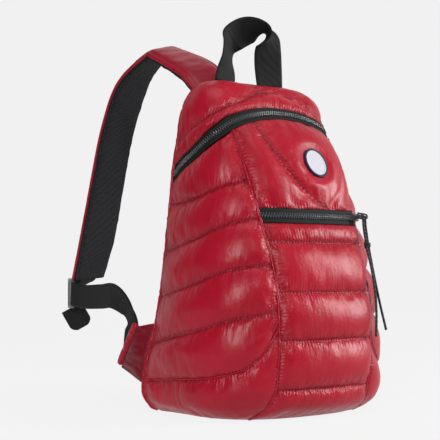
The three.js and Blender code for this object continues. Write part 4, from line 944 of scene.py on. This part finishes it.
def build_zip(name, height, low, high):
    s, p, tangent, normal, across = zip_line(height, low, high, 2.0)
    shares = np.linspace(-1, 1, 15)
    width = ZIP_WIDTH / 2 + 0.2
    rows = []
    for share in shares:
        cup = -ZIP_SINK + 0.5 * abs(share) ** 3 + (0.35 if abs(abs(share) - 0.72) < 0.05 else 0)
        rows.append(p + across * (share * width) + normal * cup)
    tape = mesh_object(f"{name}_zip_tape_weave", np.concatenate(rows), grid_faces(len(shares), len(s)))
    thicken(tape, 1.0)
    apply_modifiers(tape)
    dress(tape, TAPE, [f"{name}_zip_tape"])

    s, p, tangent, normal, across = zip_line(height, low, high, TOOTH_PITCH)
    verts, faces = [], []
    for i in range(1, len(s) - 1):
        way = 1 if i % 2 else -1
        faces += tube_faces(len(TOOTH_STATIONS), len(TOOTH_PROFILE), len(verts))
        for reach, wide, rise in TOOTH_STATIONS:
            for ahead, up in TOOTH_PROFILE:
                verts.append(p[i] + tangent[i] * ahead * wide + across[i] * (way * reach)
                             + normal[i] * (-ZIP_SINK + 0.15 + up * rise))
    teeth = mesh_object(f"{name}_zip_teeth_row", verts, faces, False)
    face_outward(teeth)
    dress(teeth, TOOTH_PAINTED_GLINT, [f"{name}_zip_teeth"])


build_zip("top", zip_height, -0.996, 0.996)
build_zip("pocket", flat(POCKET_ZIP), -FRONT_EDGE, FRONT_EDGE)


# ---- ribbons: straps, webbing and handle ----
def ribbon_frames(centres, wides, first=None, last=None):
    tangent = np.gradient(centres, axis=0)
    if first is not None:
        tangent[0] = first
    if last is not None:
        tangent[-1] = last
    tangent = unit(tangent)
    wide = unit(wides - tangent * np.sum(wides * tangent, 1, keepdims=True))
    return tangent, wide, np.cross(wide, tangent)


def loft_ribbon(name, centres, wides, profile, extra=None, scale=None, first=None, last=None):
    """Closed ribbon. profile lists (distance along the width, distance along the face)."""
    tangent, wide, face = ribbon_frames(centres, wides, first, last)
    profile = np.asarray(profile, float)
    n, count = len(profile), len(centres)
    runs = distances(centres)
    verts = []
    for i in range(count):
        k = 1.0 if scale is None else scale[i]
        out = profile[:, 1] + (0 if extra is None else extra(runs[i], runs[-1], profile))
        verts.append(centres[i] + wide[i] * (profile[:, 0:1] * k) + face[i] * out[:, None])
    obj = mesh_object(name, np.concatenate(verts), tube_faces(count, n))
    face_outward(obj, True)
    return obj


def web_profile(width, thick, steps=14):
    """Flat webbing with rounded, slightly raised edges."""
    x = np.linspace(-width / 2, width / 2, steps)
    half = thick / 2 * np.where(np.abs(x) > width / 2 - 0.6, 0.6, 1.0)
    edge = 0.12 * (np.abs(np.abs(x) - (width / 2 - 1.6)) < 1.0)
    return np.concatenate([np.stack([x, -half - edge], 1), np.stack([x, half + edge], 1)[::-1]])


WEB_OUTLINE = web_profile(WEB_WIDTH, WEB_THICK)
SEAM_Y = REAR[-1] + 0.04 * BODY_DEPTH


def behind(way, out, back, tall):
    return np.stack([way * out * HALF, SEAM_Y + back * STRAP_REACH, tall * BODY_HEIGHT], 1)


def strap_route(side, count, low=0.0):
    way = WAYS[side]
    *place, turn, tilt = read(STRAPS[side], np.linspace(low, 1.0, count))
    turn, tilt = np.radians(turn), np.radians(tilt)
    flatten = np.cos(tilt)
    wides = np.stack([np.cos(turn) * flatten, -way * np.sin(turn) * flatten, -way * np.sin(tilt)], 1)
    return behind(way, *place), wides


def web_route(side, count):
    way = WAYS[side]
    *place, wx, wy, wz = read(WEBS[side], np.linspace(0, 1, count))
    return behind(way, *place), np.stack([-way * wx, wy, wz], 1)


def build_strap(side):
    seed = {"left": 100, "right": 130}[side]
    centres, wides = strap_route(side, 150, 0.012)
    low, high = 0.25, STRAP_PAD
    half = STRAP_WIDTH / 2
    x = np.linspace(-half, half, 27)
    u = np.abs(x) / half
    crown = low + (high - low) * (1 - u ** 5) ** 0.8
    crown = np.where(u > 0.995, low + 0.4 * (high - low), crown)
    crown -= 1.5 * np.exp(-((u - 0.86) / 0.05) ** 2)
    below = len(x[::2])
    profile = np.concatenate([np.stack([x[::2], np.full(below, low)], 1), np.stack([x, crown], 1)[::-1]])

    def folds(run, total, outline):
        fade = min(1.0, run / 20, (total - run) / 20)
        across = outline[:, 0]
        waves = 0.55 * ripple(run / 9, across / 26, seed)
        waves = waves + 0.4 * ripple(run / 4.5, across / 14, seed + 1)
        lift = fade * waves * (1 - (np.abs(across) / 27) ** 4)
        lift[:below] = 0
        return lift

    pad = loft_ribbon(f"strap_pad_{side}", centres, wides, profile, folds)
    dress(pad, STRAP_RED, [f"shoulder_strap_{side}"])
    x = np.linspace(-half + 1.0, half + 0.9, 21)
    puff = -0.6 - (STRAP_MESH + 0.4) * (1 - (np.abs(x) / (half + 1)) ** 10)
    flat_side = np.stack([x[::-2], np.full(len(x[::2]), -0.1)], 1)
    profile = np.concatenate([np.stack([x, puff], 1), flat_side])
    lining = loft_ribbon(f"strap_mesh_{side}", centres, wides, profile)
    dress(lining, MESH, [f"strap_lining_{side}"])
    tangent, wide, face = ribbon_frames(centres, wides)
    for name, reach, lift, radius, material, more in (
            ("strap_binding", -(half - 0.5), 0.4, 1.6, RED, 0),
            ("lining_edge_inner", half - 0.1, -0.5, 1.5, MESH, 7),
            ("lining_edge_outer", -(half - 0.9), -2.4, 1.7, MESH, 8)):
        line = centres + wide * reach + face * lift
        tube_mesh(f"{name}_{side}", line, radius, material, 10, seed + more)
    # Stitched end of the pad.
    end = centres[-1] - tangent[-1] * 7
    lift = face[-1] * (STRAP_MESH + 0.15)
    bar = np.stack([end + wide[-1] * w - lift for w in np.linspace(-24, 24, 30)])
    stitches(f"strap_end_stitches_{side}", [bar], EDGE_THREAD, 2.6, 0.45)


def tube_mesh(name, line, radius, material, sides, seed=None):
    """Round tube along a line. With a seed its thickness varies as piping does."""
    tangent = unit(np.gradient(line, axis=0))
    size = np.full(len(line), radius)
    if seed is not None:
        size = radius * (1 + 0.22 * ripple(np.arange(len(line)) / 2.3, 0, seed))
    across = unit(np.cross(tangent, np.array([0.3, 0.2, 0.93])))
    other = np.cross(tangent, across)
    a = np.linspace(0, 2 * math.pi, sides, endpoint=False)
    rings = [line[i] + np.outer(np.cos(a), across[i]) * size[i] + np.outer(np.sin(a), other[i]) * size[i]
             for i in range(len(line))]
    obj = mesh_object(name, np.concatenate(rings), tube_faces(len(line), sides))
    face_outward(obj)
    dress(obj, material)
    return obj


STITCH_SHARE, STITCH_SIDES, STITCH_ENDS = 0.66, 6, (0.35, 1.0, 1.0, 0.35)


def stitches(name, lines, material, pitch, radius):
    """Rows of thread: short rounded dashes along each line."""
    verts, faces = [], []
    for line in lines:
        runs = distances(line)
        for at in np.arange(pitch / 2, runs[-1] - pitch / 2, pitch):
            dash = pitch * STITCH_SHARE
            spots = [np.array([np.interp(at + d, runs, line[:, k]) for k in range(3)])
                     for d in (-dash / 2, -dash / 4, dash / 4, dash / 2)]
            tangent = unit(spots[-1] - spots[0])
            across = unit(np.cross(tangent, np.array([0.21, 0.35, 0.91])))
            other = np.cross(tangent, across)
            faces += tube_faces(len(STITCH_ENDS), STITCH_SIDES, len(verts))
            for spot, size in zip(spots, STITCH_ENDS):
                for k in range(STITCH_SIDES):
                    a = k * math.pi / 3
                    verts.append(spot + (across * math.cos(a) + other * math.sin(a)) * radius * size)
    obj = mesh_object(name, verts, faces)
    face_outward(obj)
    dress(obj, material)


def build_handle():
    columns = read(HANDLE, np.linspace(0, 1, 150))
    handle = loft_ribbon("handle_webbing", np.stack(columns[:3], 1), np.stack(columns[3:], 1),
                         web_profile(HANDLE_WIDTH, HANDLE_THICK), first=[0, 0, 1], last=[0, 0, -1])
    dress(handle, WEBBING, ["carry_handle"])


for side in WAYS:
    build_strap(side)
build_seams()
for side in WAYS:
    web = loft_ribbon(f"adjuster_web_{side}", *web_route(side, 70), WEB_OUTLINE)
    dress(web, WEBBING, [f"adjuster_webbing_{side}"])
build_handle()

# Ends of a wing's hem, as shares of HALF, WING_REACH and BODY_HEIGHT.
WING_HEM_TOP, WING_HEM_LOW = (0.935, 0.24, 0.252), (0.950, 1.04, 0.122)


def build_wing(side):
    way, seed = WAYS[side], {"left": 210, "right": 240}[side]
    top, low = (np.array([way * out * HALF, BODY_DEPTH / 2 + reach * WING_REACH, high * BODY_HEIGHT])
                for out, reach, high in (WING_HEM_TOP, WING_HEM_LOW))

    def seam(z):
        return surf(np.full(np.shape(z), float(way)), z) + np.array([0, 0.9, 0])

    plane = unit(np.cross(top - seam(np.array(WING_LOW)), low - seam(np.array(WING_TOP))))
    rows, cols = 34, 20
    t = np.linspace(0, 1, cols)
    verts = []
    for v in np.linspace(0, 1, rows):
        start = seam(np.array(WING_LOW + (WING_TOP - WING_LOW) * v))
        end = low + (top - low) * v
        line = start + np.outer(t, end - start)
        depth = np.sin(math.pi * t) ** 0.7
        fold = 1.7 * ripple(v * 9 + 0.8 * t, t * 1.3, seed) + 0.8 * ripple(v * 19, t * 2.5, seed + 1)
        fold += 2.4 * math.sin(math.pi * v)
        verts.append(line + np.outer(depth * fold, plane * (1 if plane[1] > 0 else -1) * way))
    cloth = mesh_object(f"wing_cloth_{side}", np.concatenate(verts), grid_faces(rows, cols))
    thicken(cloth, 2.4, 0)
    subdivide(cloth)
    apply_modifiers(cloth)
    dress(cloth, DARK_RED, [f"anchor_wing_{side}"])

    edge = unit(top - low)
    outward = unit(np.cross(plane, edge))
    outward = outward * (1 if outward[1] > 0 else -1)
    face = np.cross(outward, edge)
    verts, count, sides = [], 60, 20
    a = np.linspace(0, 2 * math.pi, sides, endpoint=False)
    for i in range(count):
        v = i / (count - 1)
        close = (1 - abs(2 * v - 1) ** 14) ** 0.5 * 0.9 + 0.1
        centre = low + (top - low) * v + outward * 5.1
        bulge = 1 + 0.13 * ripple(a * 2 + v * 4, np.full(sides, v * 17), seed + 5)
        wide = np.sign(np.cos(a)) * np.abs(np.cos(a)) ** 0.8 * 4.5 * bulge * close
        thick = np.sin(a) * 2.9 * bulge * close
        verts.append(centre + np.outer(wide, outward) + np.outer(thick, face))
    hem = mesh_object(f"wing_hem_roll_{side}", np.concatenate(verts), tube_faces(count, sides))
    face_outward(hem)
    dress(hem, RED, [f"wing_hem_{side}"])
    lines = [np.array([low + (top - low) * v + outward * 1.7 + sign * face * 2.75
                       for v in np.linspace(0.04, 0.96, 30)]) for sign in (-1, 1)]
    stitches(f"wing_thread_{side}", lines, SEAM_SHADE_THREAD, 3.2, 0.3)


for side in WAYS:
    build_wing(side)

BUCKLE_LENGTH = 28.0
# Gap between webbing and buckle, between buckle and tab, between tab and strap.
BUCKLE_CLEAR = {"left": (1.6, 2.0, 0.6), "right": (0.8, 0.8, 1.6)}
AHEAD = np.array([0.643, 0.766])      # the way the camera looks, level
# Free ends of the webbing: start, direction and width direction.
TAIL_LENGTH = 28
TAILS = {"left": [(-79.3, 287.4, 102.5), (0.376, -0.316, -0.87), (0.667, -0.56, 0.49)],
         "right": [(81.42, 162.53, 23.87), (-0.9, 0.3, -0.2), (0.3, 0.95, 0.1)]}


def build_tab(side):
    web, wides = web_route(side, 19)
    web_way = unit(web[-1] - web[-3])
    strap, strap_wides = strap_route(side, 27)
    strap_way = unit(strap[-1] - strap[-2])
    turn_in = web_way
    if side == "left":
        turn_in = unit(web_way + (np.append(AHEAD, 0) - web_way) * 0.65)
    clear = BUCKLE_CLEAR[side]
    middle = web[-1] + turn_in * (BUCKLE_LENGTH / 2 + clear[0])
    start = strap[-1] + strap_way * clear[2]
    end = middle + turn_in * (BUCKLE_LENGTH / 2 + clear[1])
    control = [start, start + strap_way * 14, end + turn_in * 12, end]
    t = np.linspace(0, 1, 40)[:, None]
    line = ((1 - t) ** 3 * control[0] + 3 * (1 - t) ** 2 * t * control[1]
            + 3 * (1 - t) * t ** 2 * control[2] + t ** 3 * control[3])
    wide_to = wides[-1] * (np.sign(wides[-1] @ strap_wides[-1]) or 1)
    wide = strap_wides[-1] + (wide_to - strap_wides[-1]) * smooth(0, 0.8, t)
    tab = loft_ribbon(f"tab_web_{side}", line, wide, WEB_OUTLINE)
    dress(tab, WEBBING, [f"strap_tab_{side}"])


def build_tail(side):
    start, way, wide = (np.array(v, float) for v in TAILS[side])
    t = np.linspace(0, 1, 40)
    face = unit(np.cross(wide, way))
    centres = start + np.outer(TAIL_LENGTH * t, way) + np.outer(2.2 * t ** 2, face)
    tip = np.maximum(0, (t - 0.7) / 0.3)
    tail = loft_ribbon(f"tail_web_{side}", centres, np.tile(wide, (40, 1)), WEB_OUTLINE,
                       scale=np.sqrt(1 - 0.75 * tip ** 2))
    dress(tail, WEBBING, [f"webbing_tail_{side}"])


for side in WAYS:
    build_tab(side)
    build_tail(side)


# ---- knot and turn of the pull cord ----
def build_knot():
    top = (np.array(LONG_CORD[3]) + np.array(SHORT_CORD[3])) / 2
    bottom = (np.array(LONG_CORD[4]) + np.array(SHORT_CORD[4])) / 2
    axis = unit(bottom - top)
    across = unit(np.cross(axis, [0.4, 0.9, 0.1]))
    other = np.cross(axis, across)
    t = np.linspace(0, 1, 110)
    a = 2 * math.pi * 3.1 * t
    reach = 2.35 * np.sqrt(np.clip(1 - (2 * t - 1) ** 6, 0.02, 1))
    line = (top + np.outer(1.4 + 6.6 * t, axis) + np.outer(np.cos(a) * reach, across)
            + np.outer(np.sin(a) * reach, other))
    knot = tube_mesh("knot_wrap", line, 1.25, CORD_BRAID, 10)
    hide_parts("pull_cord_knot")
    ends = [np.array([68.025, -69.704, 201.173]), np.array([62.777, -71.928, 201.173])]
    node = points_mm(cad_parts["pull_cord_bight"])
    crest = node[node[:, 2] > node[:, 2].max() - 0.8].mean(0) - [0, 0, 1.1]
    middle = (ends[0] + ends[1]) / 2
    a = np.linspace(0, math.pi, 26)
    line = middle + np.outer(np.cos(a), ends[0] - middle) + np.outer(np.sin(a), crest - middle)
    turn = tube_mesh("cord_turn", line, CORD / 2, CORD_BRAID, 12)
    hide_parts("pull_cord_bight")
    return [knot, turn]


CORD_PIECES = build_knot()

# ---- pieces that keep their CAD shape ----
for name in ("ladder_lock_left", "ladder_lock_right", "top_zip_slider", "pocket_zip_slider",
             "top_zip_pull", "pocket_zip_pull"):
    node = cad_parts[name]
    node.data.materials.clear()
    node.data.materials.append(LOCK_PAINTED_HIGHLIGHT if name.startswith("ladder") else HARDWARE)
    bevel = node.modifiers.new("edges", "BEVEL")
    bevel.width = 0.4 * MM
    bevel.segments = 2
    bevel.limit_method = "ANGLE"


# ---- badge ----
BADGE_SIDES, BORDER_RINGS = 72, 5
BADGE_RINGS = ((1.0, -0.8), (1.0, 0.4), (0.985, 1.0), (0.93, 1.25), (0.87, 1.0), (0.855, 0.75),
               (0.6, 0.85), (0.3, 0.9))      # share of the half sizes and lift of each ring


def build_badge():
    """Plain oval patch with a raised border."""
    n = BADGE_SIDES
    a = np.linspace(0, 2 * math.pi, n, endpoint=False)
    centre, normal = BADGE_CENTRE, BADGE_OUT
    half_wide, half_high = BADGE_HALF
    rings = [centre + (np.outer(np.cos(a) * half_wide * k, BADGE_RIGHT)
                       + np.outer(np.sin(a) * half_high * k, BADGE_UP)) + normal * lift
             for k, lift in BADGE_RINGS]
    verts = np.concatenate(rings + [centre[None] + normal * 0.92, centre[None] - normal * 0.8])
    faces = grid_faces(len(rings), n, True)
    faces += fan_faces((len(rings) - 1) * n, n, len(verts) - 2)
    faces += [((k + 1) % n, k, len(verts) - 1) for k in range(n)]
    obj = mesh_object("badge_patch", verts, faces)
    face_outward(obj)
    dress(obj, BADGE_CLOTH, ["badge"])
    obj.data.materials.append(BADGE_BORDER)
    for polygon in obj.data.polygons:
        if min(polygon.vertices) // n < BORDER_RINGS and len(polygon.vertices) == 4:
            polygon.material_index = 1


build_badge()


# ---- cords ----
def build_cord(name, points, nodes):
    line = np.array(points)
    curve = bpy.data.curves.new(name, "CURVE")
    curve.dimensions = "3D"
    curve.bevel_depth = CORD / 2 * MM
    curve.bevel_resolution = 3
    curve.use_fill_caps = True
    curve.resolution_u = 6
    spline = curve.splines.new("BEZIER")
    spline.bezier_points.add(len(line) - 1)
    for point, place in zip(spline.bezier_points, line):
        point.co = Vector(place * MM)
        point.handle_left_type = point.handle_right_type = "AUTO"
    obj = new_object(name, curve)
    dress(obj, CORD_BRAID, nodes)


build_cord("pull_cord_long", LONG_CORD, ["pull_cord_strand_long", "pull_cord_tail_long"])
build_cord("pull_cord_short", SHORT_CORD, ["pull_cord_strand_short", "pull_cord_tail_short"])


# ---- studio ----
# Floor that turns up into a backdrop: distance behind the bag and height, in metres.
SWEEP = [(-0.42, 0), (1.2, 0), (1.9, 0.12), (2.4, 0.5), (2.6, 1.2), (2.7, 4)]
SWEEP_HALF, PAPER_GLOW = 4, 0.865
# Soft lights: place, size and radiance.
LIGHTS = {"key_left": ((-1.40, -0.90, 0.62), (0.36, 0.9), 24),
          "key_right": ((1.25, -0.95, 0.66), (0.36, 1.0), 32),
          "fill_front": ((-0.5, -1.7, 1.2), (0.5, 0.5), 9),
          "top_soft": ((-0.2, -0.3, 1.7), (1.2, 0.8), 3.2)}
LIT_POINT = Vector((0, 0, 0.18))
# The air brightens from near the first to near the second share of the way ahead.
AIR = {"From Min": 0.1, "From Max": 0.9, "To Min": 0.05, "To Max": 0.5}


def build_studio():
    side = np.array([AHEAD[1], -AHEAD[0]])
    verts = []
    for distance, high in SWEEP:
        for w in (-SWEEP_HALF, SWEEP_HALF):
            at = AHEAD * distance + side * w
            verts.append((at[0] / MM, at[1] / MM, high / MM))
    faces = [(2 * i, 2 * i + 1, 2 * i + 3, 2 * i + 2) for i in range(len(SWEEP) - 1)]
    floor = mesh_object("studio_floor", verts, faces)
    shade = Shade("studio_paper", Roughness=1.0, Specular_IOR_Level=0.0)
    shade.shader.inputs["Emission Strength"].default_value = PAPER_GLOW
    shade.link(shade.ramp(shade.noise(3, 2), [(0.0, grey(0.03)), (1.0, grey(0.035))]), "Base Color")
    shade.link(shade.ramp(shade.noise(2, 2), [(0.0, grey(0.99)), (1.0, grey(1.0))]), "Emission Color")
    floor.data.materials.append(shade.material)

    for name, (place, size, radiance) in LIGHTS.items():
        data = bpy.data.lights.new(name, "AREA")
        data.shape = "RECTANGLE"
        data.size, data.size_y = size
        data.energy = radiance * math.pi * size[0] * size[1]
        obj = new_object(name, data)
        obj.location = place
        obj.rotation_euler = (LIT_POINT - Vector(place)).to_track_quat("-Z", "Y").to_euler()

    world = bpy.data.worlds.new("studio_air")
    world.use_nodes = True
    tree = world.node_tree
    coords = tree.nodes.new("ShaderNodeTexCoord")
    dot = tree.nodes.new("ShaderNodeVectorMath")
    dot.operation = "DOT_PRODUCT"
    dot.inputs[1].default_value = (*AHEAD, 0.15)
    ramp = tree.nodes.new("ShaderNodeMapRange")
    for socket, value in AIR.items():
        ramp.inputs[socket].default_value = value
    tree.links.new(coords.outputs["Generated"], dot.inputs[0])
    tree.links.new(dot.outputs["Value"], ramp.inputs["Value"])
    tree.links.new(ramp.outputs["Result"], tree.nodes["Background"].inputs["Color"])
    bpy.context.scene.world = world
    bpy.context.scene.view_settings.view_transform = "Standard"


build_studio()
